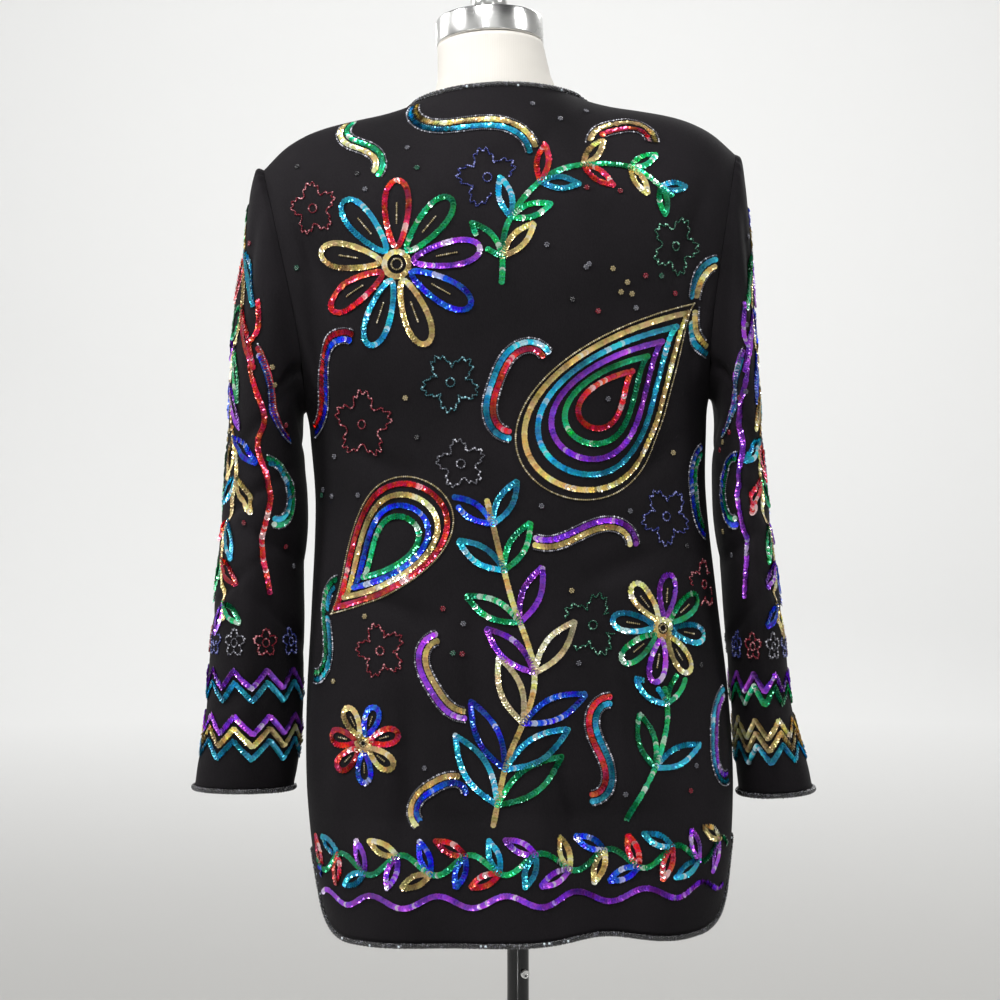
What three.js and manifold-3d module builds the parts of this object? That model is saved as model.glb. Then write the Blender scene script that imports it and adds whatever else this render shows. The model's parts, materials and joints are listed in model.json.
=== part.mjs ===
// A long-line evening jacket with padded shoulders, on a limbless dress form with a round base.
// Millimetres, +Z up, the floor at z 0, the pole on the Z axis, the jacket's front towards -Y.
import * as THREE from "three";
import { mergeVertices } from "three/addons/utils/BufferGeometryUtils.js";
import Module from "manifold-3d";

const wasm = await Module();
wasm.setup();

// Levels above the floor
const HEM_Z = 584;
const VENT_TOP_Z = 695;
const UNDERARM_Z = 1076;
const SHOULDER_TIP_Z = 1309;
const NECK_POINT_Z = 1367;
const NAPE_Z = 1372.5;
const FRONT_NECK_Z = 1286;

// Cut of the jacket
const SHOULDER_HALF = 226; // centre to shoulder tip
const NECK_HALF = 80; // centre to neck point
const FRONT_EDGE_X = 7.2; // the fronts meet edge to edge, this far each side of the centre
const CLOTH = 2; // beaded crepe with its backing
const SEAM_GAP = 0.4; // between one piece and the next
const VENT_SPREAD = 10; // how far each vent edge stands off the side line at the hem
const CORNER = { across: 100, up: 54 }; // rounded hem corner at a side vent
const FRONT_CORNER = 32; // rounded hem corner at the centre front
const CORNER_ROWS_HEIGHT = 100; // the rows above the hem level out over this height
const EDGING_RADIUS = 2.6; // beaded rope round every open edge
const EDGING_GAP = 0.7; // between the rope and the edge that it finishes
const EDGING_SIDES = 6;
const VENT_ROPE_ROWS = 3; // the rope runs this many rows up a vent

// How the cloth hangs
const SQUARENESS = 2.3; // exponent of the superellipse that each level follows
const RIDGE_DROP = 105; // height over which the cloth rolls over the shoulder
const LEAN = { angle: THREE.MathUtils.degToRad(1.9), x: -4, z: 650 }; // the form leans a little on its pole

// Levels of the jacket's body: half the width, and the depths behind and before the side seams
const BODY = [
  { z: 560, half: 180, back: 136, front: 138 },
  { z: 590, half: 187, back: 135, front: 138 },
  { z: 620, half: 194, back: 134, front: 137 },
  { z: 660, half: 200, back: 131, front: 136 },
  { z: 716, half: 204, back: 127, front: 133 },
  { z: 793, half: 202, back: 120, front: 129 },
  { z: 889, half: 194, back: 113, front: 126 },
  { z: 985, half: 187, back: 108, front: 129 },
  { z: 1040, half: 189, back: 108, front: 137 },
  { z: 1076, half: 193, back: 110, front: 141 },
  { z: 1110, half: 209, back: 113, front: 141 },
  { z: 1150, half: 224, back: 116, front: 136 },
  { z: 1200, half: 236, back: 117, front: 124 },
  { z: 1260, half: 243, back: 112, front: 104 },
  { z: 1320, half: 247, back: 102, front: 84 },
  { z: 1400, half: 250, back: 92, front: 70 },
];

// The shoulder line seen from behind, carried on over the neck hole
const SHOULDER_LINE = [
  { x: 0, z: 1403 },
  { x: 30, z: 1396 },
  { x: 60, z: 1379 },
  { x: 80, z: 1367 },
  { x: 105, z: 1359 },
  { x: 137, z: 1353 },
  { x: 165, z: 1347 },
  { x: 185, z: 1340 },
  { x: 205, z: 1328.5 },
  { x: 226, z: 1309 },
];

// Where the armhole seam runs on the back and on the fronts
const ARMHOLE = [
  { z: 1076, back: 193, front: 193 },
  { z: 1084, back: 191.5, front: 190.5 },
  { z: 1100, back: 191, front: 187.5 },
  { z: 1138, back: 193, front: 185 },
  { z: 1186, back: 200, front: 190 },
  { z: 1234, back: 209, front: 201 },
  { z: 1273, back: 217, front: 213 },
  { z: 1309, back: 226, front: 226 },
];

// Soft folds: positive depth stands out. x is where the fold runs at its foot and at its head.
const BACK_FOLDS = [
  { foot: -76, head: -52, low: 560, high: 790, width: 34, depth: -15 },
  { foot: -150, head: -142, low: 560, high: 760, width: 30, depth: 9 },
  { foot: -14, head: -6, low: 560, high: 740, width: 40, depth: 6 },
  { foot: 74, head: 60, low: 560, high: 720, width: 34, depth: -6 },
  { foot: 138, head: 122, low: 560, high: 760, width: 36, depth: 6 },
  { foot: -168, head: -186, low: 1090, high: 1280, width: 9, depth: -8 },
  { foot: 168, head: 186, low: 1090, high: 1280, width: 9, depth: -8 },
  { foot: -120, head: -168, low: 900, high: 1130, width: 22, depth: -4 },
  { foot: 118, head: 166, low: 880, high: 1110, width: 24, depth: -4 },
];
const FRONT_FOLDS = [
  { foot: -66, head: -60, low: 560, high: 860, width: 30, depth: -8 },
  { foot: 62, head: 58, low: 560, high: 820, width: 32, depth: -9 },
  { foot: -132, head: -110, low: 560, high: 900, width: 34, depth: 7 },
  { foot: 128, head: 112, low: 560, high: 880, width: 32, depth: 8 },
  { foot: -168, head: -180, low: 1100, high: 1270, width: 10, depth: -6 },
  { foot: 168, head: 180, low: 1100, high: 1270, width: 10, depth: -6 },
];
// The back hem lifts where its deepest fold draws it in
const HEM_LIFT = [
  { x: -68, width: 38, lift: 5 },
  { x: -140, width: 36, lift: -3 },
];

// Sleeve rings from armhole to cuff: the points furthest out and in, and half the depth front to back
const SLEEVE_LEFT = [
  { outX: 250.5, outZ: 1301, inX: 205.5, inZ: 1068, half: 72, y: 0 },
  { outX: 255.5, outZ: 1283, inX: 208, inZ: 1064, half: 74, y: 0 },
  { outX: 259, outZ: 1256, inX: 208.5, inZ: 1058, half: 76, y: -1 },
  { outX: 262.5, outZ: 1222, inX: 208, inZ: 1052, half: 77, y: -2 },
  { outX: 269.5, outZ: 1184, inX: 207.5, inZ: 1045, half: 78, y: -3 },
  { outX: 273.5, outZ: 1142, inX: 207, inZ: 1037, half: 78, y: -4 },
  { outX: 275.5, outZ: 1098, inX: 206, inZ: 1027, half: 77, y: -5 },
  { outX: 277.5, outZ: 1054, inX: 205, inZ: 1012, half: 75, y: -6 },
  { outX: 281, outZ: 1008, inX: 203, inZ: 990, half: 73, y: -7 },
  { outX: 285, outZ: 962, inX: 202.5, inZ: 958, half: 71, y: -8 },
  { outX: 289, outZ: 915, inX: 204.5, inZ: 915, half: 69, y: -10 },
  { outX: 293, outZ: 874, inX: 206, inZ: 874, half: 66, y: -12 },
  { outX: 297, outZ: 832, inX: 207, inZ: 832, half: 62, y: -14 },
  { outX: 299.5, outZ: 793, inX: 207.5, inZ: 793, half: 58, y: -16 },
  { outX: 303.5, outZ: 759, inX: 209.5, inZ: 759, half: 54, y: -18 },
  { outX: 309, outZ: 731, inX: 213, inZ: 730, half: 51, y: -19 },
  { outX: 312, outZ: 710, inX: 217, inZ: 710, half: 49, y: -20 },
];
const SLEEVE_RIGHT = [
  { outX: -214, outZ: 1310, inX: -185.5, inZ: 1081, half: 72, y: 0 },
  { outX: -217, outZ: 1291, inX: -188.5, inZ: 1077, half: 75, y: 0 },
  { outX: -219.5, outZ: 1266, inX: -190, inZ: 1071, half: 77, y: -1 },
  { outX: -222, outZ: 1234, inX: -190.5, inZ: 1065, half: 79, y: -2 },
  { outX: -224.5, outZ: 1194, inX: -190.5, inZ: 1058, half: 80, y: -3 },
  { outX: -226.5, outZ: 1150, inX: -190, inZ: 1050, half: 81, y: -4 },
  { outX: -229, outZ: 1105, inX: -189, inZ: 1040, half: 81, y: -5 },
  { outX: -232, outZ: 1060, inX: -188, inZ: 1026, half: 80, y: -6 },
  { outX: -236.5, outZ: 1014, inX: -187.5, inZ: 1004, half: 79, y: -7 },
  { outX: -241.5, outZ: 966, inX: -189, inZ: 966, half: 77, y: -8 },
  { outX: -247.5, outZ: 920, inX: -194, inZ: 920, half: 75, y: -10 },
  { outX: -253, outZ: 878, inX: -198.5, inZ: 878, half: 73, y: -12 },
  { outX: -258, outZ: 836, inX: -202.5, inZ: 836, half: 70, y: -14 },
  { outX: -261.5, outZ: 797, inX: -206, inZ: 797, half: 67, y: -16 },
  { outX: -270, outZ: 760, inX: -209, inZ: 758, half: 63, y: -18 },
  { outX: -279, outZ: 732, inX: -211.5, inZ: 728, half: 59, y: -19 },
  { outX: -284, outZ: 709, inX: -214, inZ: 705, half: 56, y: -20 },
];
const HEAD = { rings: 7, ease: 1.5, half: 70 }; // over these rings the sleeve leaves the armhole's shape
const SLEEVE_SQUARENESS = 2.15;
// Sleeve folds: turn is the angle from the outer side through the back, from 0 to 1 all round
const SLEEVE_FOLDS = [
  { turn: 0.13, z: 1205, tall: 62, wide: 0.03, depth: -6 },
  { turn: 0.24, z: 900, tall: 150, wide: 0.035, depth: 4 },
  { turn: 0.4, z: 930, tall: 22, wide: 0.09, depth: -4 },
  { turn: 0.62, z: 905, tall: 20, wide: 0.1, depth: -5 },
  { turn: 0.84, z: 1190, tall: 60, wide: 0.035, depth: -5 },
];

// Grids
const NECK_SHARE = NECK_HALF / SHOULDER_HALF;
const HALF_SHARES = [
  ...[0, 0.16, 0.33, 0.5, 0.66, 0.8, 0.91, 1].map((share) => share * NECK_SHARE),
  ...[0.42, 0.51, 0.61, 0.7, 0.79, 0.87, 0.93, 0.97, 0.993, 1],
];
const ARMHOLE_STEPS = 12; // vertices along each half of an armhole, shared by panel and sleeve
const LOWER_LEVELS = [
  ...[HEM_Z, 594, 608, 628, 652, 683, 715, 755],
  ...[800, 845, 890, 935, 975, 1012, 1048, UNDERARM_Z],
];

// Dress form, neck cap and stand
const FORM = [
  { z: 700, half: 160, back: 100, front: 100, power: 2.2, y: 0 },
  { z: 712, half: 170, back: 108, front: 108, power: 2.2, y: 0 },
  { z: 780, half: 177, back: 110, front: 110, power: 2.2, y: 0 },
  { z: 860, half: 166, back: 102, front: 106, power: 2.2, y: 0 },
  { z: 920, half: 145, back: 90, front: 98, power: 2.1, y: 0 },
  { z: 965, half: 132, back: 85, front: 95, power: 2.1, y: 0 },
  { z: 1020, half: 141, back: 90, front: 107, power: 2.1, y: 0 },
  { z: 1080, half: 157, back: 97, front: 124, power: 2.1, y: 0 },
  { z: 1115, half: 164, back: 100, front: 128, power: 2.1, y: 0 },
  { z: 1160, half: 168, back: 101, front: 120, power: 2.1, y: 0 },
  { z: 1210, half: 173, back: 99, front: 104, power: 2.1, y: 0 },
  { z: 1250, half: 178, back: 93, front: 90, power: 2.1, y: 0 },
  { z: 1290, half: 179, back: 84, front: 74, power: 2, y: 0 },
  { z: 1318, half: 174, back: 76, front: 65, power: 1.8, y: 0 },
  { z: 1335, half: 163, back: 70, front: 60, power: 1.6, y: 0 },
  { z: 1344.5, half: 150, back: 66, front: 58, power: 1.5, y: 0 },
  { z: 1349, half: 135.5, back: 63, front: 57, power: 1.4, y: 0 },
  { z: 1355, half: 106, back: 60, front: 56, power: 1.45, y: 0 },
  { z: 1361.5, half: 79, back: 57, front: 55, power: 1.7, y: 0 },
  { z: 1372, half: 60, back: 53, front: 53, power: 2, y: -1 },
  { z: 1390, half: 54.5, back: 51, front: 52, power: 2, y: -3 },
  { z: 1408, half: 52.5, back: 50, front: 51, power: 2, y: -6 },
  { z: 1423, half: 51, back: 50, front: 50, power: 2, y: -8 },
];
const FORM_SIDES = 32;
const NECK = { foot: 1361.5, aside: 5, tilt: THREE.MathUtils.degToRad(8) }; // its top slants under the cap
const CAP = { radius: 51.5, height: 24, rim: 1.5, forward: 8 };
const KNOB = { foot: 13, waist: 16, ball: 18, height: 38 };
const POLE = { radius: 10.5, sides: 24 };
const POLE_SCREW = { radius: 4.5, stand: 4, z: 532, bearing: THREE.MathUtils.degToRad(120) };
const SOCKET = { bore: 11, radius: 21, flange: 27, height: 46, wall: 9 };
const BASE = { radius: 165, thickness: 8, bevel: 2, sides: 64 };
const HANGER_PLATE = { radius: 24, thickness: 8 };
const PROBE = 0.5; // step for slopes
const TOUCH = 0.3; // gap between pieces that touch
const CUTTER = 12; // how far a cutting wall reaches past the surface that it cuts to

// Value of a table's column at a place along its key column, smooth through every row
function lookUp(rows, key, column, at) {
  const last = rows.length - 1;
  if (at <= rows[0][key]) return rows[0][column];
  if (at >= rows[last][key]) return rows[last][column];
  const i = rows.findIndex((row) => row[key] > at) - 1;
  const slope = (j) => {
    const a = rows[Math.max(0, j - 1)];
    const b = rows[Math.min(last, j + 1)];
    return (b[column] - a[column]) / (b[key] - a[key]);
  };
  const width = rows[i + 1][key] - rows[i][key];
  const t = (at - rows[i][key]) / width;
  const t2 = t * t;
  const t3 = t2 * t;
  return (
    rows[i][column] * (2 * t3 - 3 * t2 + 1) +
    rows[i + 1][column] * (3 * t2 - 2 * t3) +
    width * (slope(i) * (t3 - 2 * t2 + t) + slope(i + 1) * (t3 - t2))
  );
}

const bell = (offset, width) => Math.exp(-((offset / width) ** 2));

// The body leans as one with the form
function lean(x, y, z) {
  const up = z - LEAN.z;
  return new THREE.Vector3(
    LEAN.x + x * Math.cos(LEAN.angle) + up * Math.sin(LEAN.angle),
    y,
    LEAN.z + up * Math.cos(LEAN.angle) - x * Math.sin(LEAN.angle),
  );
}

// Sum of the soft folds at a place: each is a bell across, and fades in and out along its length
function foldDepth(folds, x, z) {
  let depth = 0;
  for (const fold of folds) {
    const along = (z - fold.low) / (fold.high - fold.low);
    if (along >= 1 || along <= -0.2) continue;
    const path = fold.foot + (fold.head - fold.foot) * along;
    const turn = Math.max(0, along) * Math.PI;
    const fade = fold.low < HEM_Z ? Math.cos(turn / 2) : Math.sin(turn);
    depth += fold.depth * fade * bell(x - path, fold.width);
  }
  return depth;
}

// Distance of the cloth behind (or before) the side line, at x across and z up
function clothDepth(side, x, z) {
  const half = lookUp(BODY, "z", "half", z);
  const across = Math.max(0, 1 - Math.min(1, Math.abs(x) / half) ** SQUARENESS) ** (1 / SQUARENESS);
  const drop = Math.min(1, Math.max(0, (lookUp(SHOULDER_LINE, "x", "z", Math.abs(x)) - z) / RIDGE_DROP));
  const roll = Math.sqrt(1 - (1 - drop) ** 2);
  const folds = foldDepth(side === "back" ? BACK_FOLDS : FRONT_FOLDS, x, z);
  return (lookUp(BODY, "z", side, z) + folds) * across * roll;
}

function spread(z) {
  const closed = Math.min(1, Math.max(0, (z - HEM_Z) / (VENT_TOP_Z - HEM_Z)));
  return SEAM_GAP / 2 + VENT_SPREAD * (1 - closed ** 3);
}

function clothPoint(side, x, z) {
  const way = side === "back" ? 1 : -1;
  return lean(x, way * (spread(z) + clothDepth(side, x, z)), z);
}

// Outward normal of the cloth, from how the square of its depth changes, which is smooth up to the seams
function clothNormal(side, x, z) {
  const square = (atX, atZ) => clothDepth(side, atX, atZ) ** 2;
  const alongX = (square(x + PROBE, z) - square(x - PROBE, z)) / (2 * PROBE);
  const alongZ = (square(x, z + PROBE) - square(x, z - PROBE)) / (2 * PROBE);
  const way = side === "back" ? 1 : -1;
  const out = new THREE.Vector3(-alongX, 2 * way * clothDepth(side, x, z), -alongZ);
  return out.applyAxisAngle(new THREE.Vector3(0, 1, 0), LEAN.angle).normalize();
}

// Height that the hem gains at its rounded corners and over its deepest fold
function hemRise(side, share, x) {
  const inward = (1 - share ** SQUARENESS) ** (1 / SQUARENESS);
  const fromSide = lookUp(BODY, "z", side, HEM_Z) * inward + lookUp(BODY, "z", "half", HEM_Z) * (1 - share);
  const reach = Math.max(0, 1 - fromSide / CORNER.across);
  let rise = CORNER.up * (1 - Math.sqrt(1 - reach * reach));
  if (side === "back") for (const place of HEM_LIFT) rise += place.lift * bell(x - place.x, place.width);
  else {
    const fromFront = Math.max(0, 1 - (Math.abs(x) - FRONT_EDGE_X) / FRONT_CORNER);
    rise += FRONT_CORNER * (1 - Math.sqrt(1 - fromFront * fromFront));
  }
  return rise;
}

// Height of the panel's top edge: the shoulder seam, then the neckline
function topEdge(side, x) {
  if (x >= NECK_HALF) return lookUp(SHOULDER_LINE, "x", "z", x);
  const share = x / NECK_HALF;
  if (side === "back") return NAPE_Z - (NAPE_Z - NECK_POINT_Z) * share * share;
  return NECK_POINT_Z - (NECK_POINT_Z - FRONT_NECK_Z) * Math.sqrt(1 - share * share);
}

// Shares of the height from underarm to shoulder tip at which the armhole has its vertices
const armholeShares = Array.from(
  { length: ARMHOLE_STEPS + 1 },
  (_, i) => (1 - Math.cos((i * Math.PI) / ARMHOLE_STEPS)) / 2,
);

// One panel as rows of places, x and z, from the hem to the top edge, for shares of its half width
function panelPlaces(side, shares) {
  const rows = [];
  for (const level of LOWER_LEVELS) {
    rows.push(
      shares.map((share) => {
        const fade = Math.max(0, 1 - (level - HEM_Z) / CORNER_ROWS_HEIGHT);
        const x0 = acrossAt(side, share, lookUp(BODY, "z", "half", level));
        const z = level + hemRise(side, Math.abs(share), x0) * fade;
        return [acrossAt(side, share, lookUp(BODY, "z", "half", z)), z];
      }),
    );
  }
  for (const share of armholeShares.slice(1)) {
    const armZ = UNDERARM_Z + share * (SHOULDER_TIP_Z - UNDERARM_Z);
    const half = lookUp(ARMHOLE, "z", side, armZ);
    rows.push(
      shares.map((place) => {
        const plain = acrossAt(side, place, half);
        const top = topAcross(side, place);
        const x = plain + (top - acrossAt(side, place, SHOULDER_HALF)) * share * share;
        return [x, UNDERARM_Z + share * (topEdge(side, Math.abs(top)) - UNDERARM_Z)];
      }),
    );
  }
  return rows;
}

// A share of the half width as x: on the fronts share 0 is the front edge, elsewhere shares match the back's
function acrossAt(side, share, half) {
  if (side === "back") return share * half;
  const inset = Math.max(0, 1 - Math.abs(share) / NECK_SHARE);
  return share * half + Math.sign(share) * FRONT_EDGE_X * inset;
}

// The same on the top edge, where the columns are spaced evenly round the neckline's oval
function topAcross(side, share) {
  if (Math.abs(share) >= NECK_SHARE) return share * SHOULDER_HALF;
  const start = side === "back" ? 0 : Math.asin(FRONT_EDGE_X / NECK_HALF);
  const angle = start + (Math.PI / 2 - start) * (Math.abs(share) / NECK_SHARE);
  return Math.sign(share) * NECK_HALF * Math.sin(angle);
}

// Outward normals of a stack of rings
function ringNormals(rings) {
  const sides = rings[0].length;
  return rings.map((ring, r) =>
    ring.map((_, c) => {
      const up = rings[Math.min(rings.length - 1, r + 1)][c].clone().sub(rings[Math.max(0, r - 1)][c]);
      const round = ring[(c + 1) % sides].clone().sub(ring[(c + sides - 1) % sides]);
      return round.cross(up).normalize();
    }),
  );
}

const moved = (point, normal, distance) => point.clone().addScaledVector(normal, distance);

// A closed body from triangles, turned to face outwards
function body(points, triangles) {
  let volume = 0;
  for (let i = 0; i < triangles.length; i += 3) {
    const [a, b, c] = [points[triangles[i]], points[triangles[i + 1]], points[triangles[i + 2]]];
    volume += a.dot(b.clone().cross(c));
  }
  if (volume < 0) triangles.reverse();
  const geometry = new THREE.BufferGeometry().setFromPoints(points);
  geometry.setIndex(triangles);
  geometry.computeVertexNormals();
  return geometry;
}

// A wall between an outer grid and an inner one, its columns a ring if wrap is true
function wall(outer, inner, wrap) {
  const cols = outer[0].length;
  const count = outer.length * cols;
  const at = (layer, r, c) => layer * count + r * cols + (c % cols);
  const triangles = [];
  const quad = (a, b, c, d) => triangles.push(a, b, c, a, c, d);
  const spans = wrap ? cols : cols - 1;
  const top = outer.length - 1;
  for (let c = 0; c < spans; c++) {
    for (let r = 0; r < top; r++) {
      quad(at(0, r, c), at(0, r, c + 1), at(0, r + 1, c + 1), at(0, r + 1, c));
      quad(at(1, r, c), at(1, r + 1, c), at(1, r + 1, c + 1), at(1, r, c + 1));
    }
    quad(at(0, 0, c), at(1, 0, c), at(1, 0, c + 1), at(0, 0, c + 1));
    quad(at(0, top, c), at(0, top, c + 1), at(1, top, c + 1), at(1, top, c));
  }
  for (let r = 0; r < top && !wrap; r++) {
    quad(at(0, r, 0), at(0, r + 1, 0), at(1, r + 1, 0), at(1, r, 0));
    quad(at(0, r, cols - 1), at(1, r, cols - 1), at(1, r + 1, cols - 1), at(0, r + 1, cols - 1));
  }
  return body([...outer.flat(), ...inner.flat()], triangles);
}

// A solid through a stack of rings, closed into a loop or capped at both ends
function loft(rings, loop) {
  const sides = rings[0].length;
  const points = rings.flat();
  const triangles = [];
  const at = (r, c) => (r % rings.length) * sides + (c % sides);
  const top = rings.length - 1;
  for (let r = 0; r < (loop ? rings.length : top); r++) {
    for (let c = 0; c < sides; c++) {
      triangles.push(at(r, c), at(r, c + 1), at(r + 1, c + 1), at(r, c), at(r + 1, c + 1), at(r + 1, c));
    }
  }
  for (let c = 1; c < sides - 1 && !loop; c++) {
    triangles.push(at(0, 0), at(0, c + 1), at(0, c), at(top, 0), at(top, c), at(top, c + 1));
  }
  return body(points, triangles);
}

// The beaded rope along an edge: each stop gives its middle, the cloth's normal and the way off the edge
function edging(stops, loop, radius = EDGING_RADIUS) {
  const rings = stops.map(({ middle, normal, away }) => {
    const centre = moved(middle, away, EDGING_RADIUS + EDGING_GAP);
    return Array.from({ length: EDGING_SIDES }, (_, i) => {
      const turn = (i * 2 * Math.PI) / EDGING_SIDES;
      return moved(moved(centre, normal, radius * Math.sin(turn)), away, radius * Math.cos(turn));
    });
  });
  return loft(rings, loop);
}

// A stop of the rope, from the edge's point, its neighbours, a point inside the cloth and the cloth's normal
function edgeStop(point, before, after, inside, normal) {
  const along = after.clone().sub(before).normalize();
  const away = along.clone().cross(normal).normalize();
  if (away.dot(point.clone().sub(inside)) < 0) away.negate();
  return { middle: moved(point, normal, EDGING_RADIUS - CLOTH), normal: along.cross(away).normalize(), away };
}

function edgeStops(points, insides, normals) {
  return points.map((point, i) => {
    const before = points[Math.max(0, i - 1)];
    const after = points[Math.min(points.length - 1, i + 1)];
    return edgeStop(point, before, after, insides[i], normals[i]);
  });
}

// A panel's points and normals, row by row from the hem, and its wall
function makePanel(side, shares) {
  const places = panelPlaces(side, shares);
  const rows = places.map((row) => row.map(([x, z]) => clothPoint(side, x, z)));
  const normals = places.map((row) => row.map(([x, z]) => clothNormal(side, x, z)));
  const inner = rows.map((row, r) => row.map((point, c) => moved(point, normals[r][c], -CLOTH)));
  return { rows, normals, geometry: wall(rows, inner, false) };
}

// Armhole vertices of a panel, from the underarm to the shoulder tip, stepped off the seam
function armholeEdge(panel, column, inward) {
  const lower = LOWER_LEVELS.length - 1;
  const points = panel.rows.slice(lower).map((row) => row[column]);
  const insides = panel.rows.slice(lower).map((row) => row[column + inward]);
  insides[0] = panel.rows[lower - 1][column];
  const normals = panel.normals.slice(lower).map((row) => row[column]);
  const stops = edgeStops(points, insides, normals);
  stops[0].away.set(0, 0, 1);
  return points.map((point, i) => moved(point, stops[i].away, SEAM_GAP));
}

// One sleeve: a ring on the armhole, then the table's rings. turn runs from the outer side through the back.
function makeSleeve(rings, backEdge, frontEdge) {
  const armhole = [...backEdge].reverse().concat(frontEdge.slice(1, -1));
  const count = armhole.length;
  const tip = armhole[0];
  const underarm = armhole[count / 2];
  const ringPoint = (ring, turn) => {
    const angle = turn * 2 * Math.PI;
    const power = 2 / SLEEVE_SQUARENESS;
    const outward = Math.sign(Math.cos(angle)) * Math.abs(Math.cos(angle)) ** power;
    const back = Math.sign(Math.sin(angle)) * Math.abs(Math.sin(angle)) ** power;
    return new THREE.Vector3(
      (ring.outX + ring.inX) / 2 + ((ring.outX - ring.inX) / 2) * outward,
      ring.y + ring.half * back,
      (ring.outZ + ring.inZ) / 2 + ((ring.outZ - ring.inZ) / 2) * outward,
    );
  };
  const start = { outX: tip.x, outZ: tip.z, inX: underarm.x, inZ: underarm.z, half: HEAD.half, y: 0 };
  const rows = [armhole];
  rings.forEach((ring, i) => {
    const stay = Math.max(0, 1 - (i + 1) / HEAD.rings) ** HEAD.ease;
    rows.push(
      armhole.map((point, c) => {
        const turn = c / count;
        const placed = ringPoint(ring, turn).addScaledVector(point.clone().sub(ringPoint(start, turn)), stay);
        const centre = new THREE.Vector3((ring.outX + ring.inX) / 2, ring.y, placed.z);
        return placed.add(placed.clone().sub(centre).normalize().multiplyScalar(sleeveFold(turn, placed.z)));
      }),
    );
  });
  rows.reverse();
  const outward = Math.sign(tip.x);
  const turned = outward > 0 ? rows : rows.map((row) => [row[0], ...row.slice(1).reverse()]);
  const normals = ringNormals(turned);
  const inner = turned.map((row, r) => row.map((point, c) => moved(point, normals[r][c], -CLOTH)));
  return { rows: turned, normals, geometry: wall(turned, inner, true) };
}

function sleeveFold(turn, z) {
  let depth = 0;
  for (const fold of SLEEVE_FOLDS) {
    const round = Math.abs(turn - fold.turn);
    depth += fold.depth * bell(Math.min(round, 1 - round), fold.wide) * bell(z - fold.z, fold.tall);
  }
  return depth;
}

function cuffEdging(sleeve) {
  const [edge, next] = sleeve.rows;
  const stops = edge.map((point, c) => {
    const before = edge[(c + edge.length - 1) % edge.length];
    const after = edge[(c + 1) % edge.length];
    return edgeStop(point, before, after, next[c], sleeve.normals[0][c]);
  });
  return edging(stops, true);
}

// Panels: the columns run anticlockwise seen from above, so that the normals point outwards
const fullShares = [...HALF_SHARES].reverse().concat(HALF_SHARES.slice(1).map((share) => -share));
const back = makePanel("back", fullShares);
const frontLeft = makePanel("front", [1e-9, ...HALF_SHARES.slice(1)]);
const frontRight = makePanel("front", [...HALF_SHARES.slice(1).map((share) => -share).reverse(), -1e-9]);
const widest = HALF_SHARES.length - 1;

const sleeveLeft = makeSleeve(SLEEVE_LEFT, armholeEdge(back, 0, 1), armholeEdge(frontLeft, widest, -1));
const sleeveRight = makeSleeve(SLEEVE_RIGHT, armholeEdge(back, 2 * widest, -1), armholeEdge(frontRight, 0, 1));

// Edging through a list of places on a panel's edge: row and column, and the row and column just inside
function edgingThrough(panel, places) {
  const points = places.map(([r, c]) => panel.rows[r][c]);
  const insides = places.map(([, , r, c]) => panel.rows[r][c]);
  const normals = places.map(([r, c]) => panel.normals[r][c]);
  return edging(edgeStops(points, insides, normals), false);
}

// Places up a vent from the hem, on the panel's first or last column
const ventPlaces = (column, inward) =>
  Array.from({ length: VENT_ROPE_ROWS }, (_, i) => [i + 1, column, i + 1, column + inward]);

// Edging of the back: down one vent, along the hem and up the other vent
function backEdging(panel) {
  const last = panel.rows[0].length - 1;
  const hem = panel.rows[0].map((_, c) => [0, c, 1, c]);
  return edgingThrough(panel, [...ventPlaces(0, 1).reverse(), ...hem, ...ventPlaces(last, -1)]);
}

// Edging of a front: down the front edge from the neck, along the hem and up the vent
function frontEdging(panel, edgeColumn, inward) {
  const down = panel.rows.slice(1, -1).map((_, r) => [r + 1, edgeColumn, r + 1, edgeColumn + inward]);
  const hem = panel.rows[0].map((_, c) => [0, edgeColumn + inward * c, 1, edgeColumn + inward * c]);
  return edgingThrough(panel, [...down.reverse(), ...hem, ...ventPlaces(edgeColumn + inward * widest, -inward)]);
}

// Edging of the neckline, from the left front edge over the nape to the right one
function neckEdging(radius) {
  const neckColumn = HALF_SHARES.indexOf(NECK_SHARE);
  const points = [];
  const insides = [];
  const normals = [];
  const add = (panel, c) => {
    const top = panel.rows.length - 1;
    points.push(panel.rows[top][c]);
    insides.push(panel.rows[top - 1][c]);
    normals.push(panel.normals[top][c]);
  };
  for (let c = 0; c < neckColumn; c++) add(frontLeft, c);
  for (let c = widest - neckColumn; c <= widest + neckColumn; c++) add(back, c);
  for (let c = widest - neckColumn + 1; c <= widest; c++) add(frontRight, c);
  return edging(edgeStops(points, insides, normals), false, radius);
}

// Dress form: level sections, leaning with the cloth, that slant and stand aside more and more up the neck
function formBlank() {
  const top = FORM[FORM.length - 1].z;
  return loft(
    FORM.map((row) => {
      const up = Math.max(0, (row.z - NECK.foot) / (top - NECK.foot));
      return Array.from({ length: FORM_SIDES }, (_, i) => {
        const angle = (i * 2 * Math.PI) / FORM_SIDES;
        const power = 2 / row.power;
        const x = Math.sign(Math.sin(angle)) * Math.abs(Math.sin(angle)) ** power * row.half;
        const depth = Math.cos(angle) > 0 ? row.back : row.front;
        const y = Math.sign(Math.cos(angle)) * Math.abs(Math.cos(angle)) ** power * depth;
        return lean(x + NECK.aside * up, y + row.y, row.z + y * Math.tan(NECK.tilt) * up);
      });
    }),
    false,
  );
}

function solid(geometry) {
  const bare = geometry.clone();
  bare.deleteAttribute("normal");
  const merged = mergeVertices(bare, 1e-4);
  const vertProperties = merged.attributes.position.array;
  const triVerts = new Uint32Array(merged.index.array);
  return new wasm.Manifold(new wasm.Mesh({ numProp: 3, vertProperties, triVerts }));
}

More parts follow.
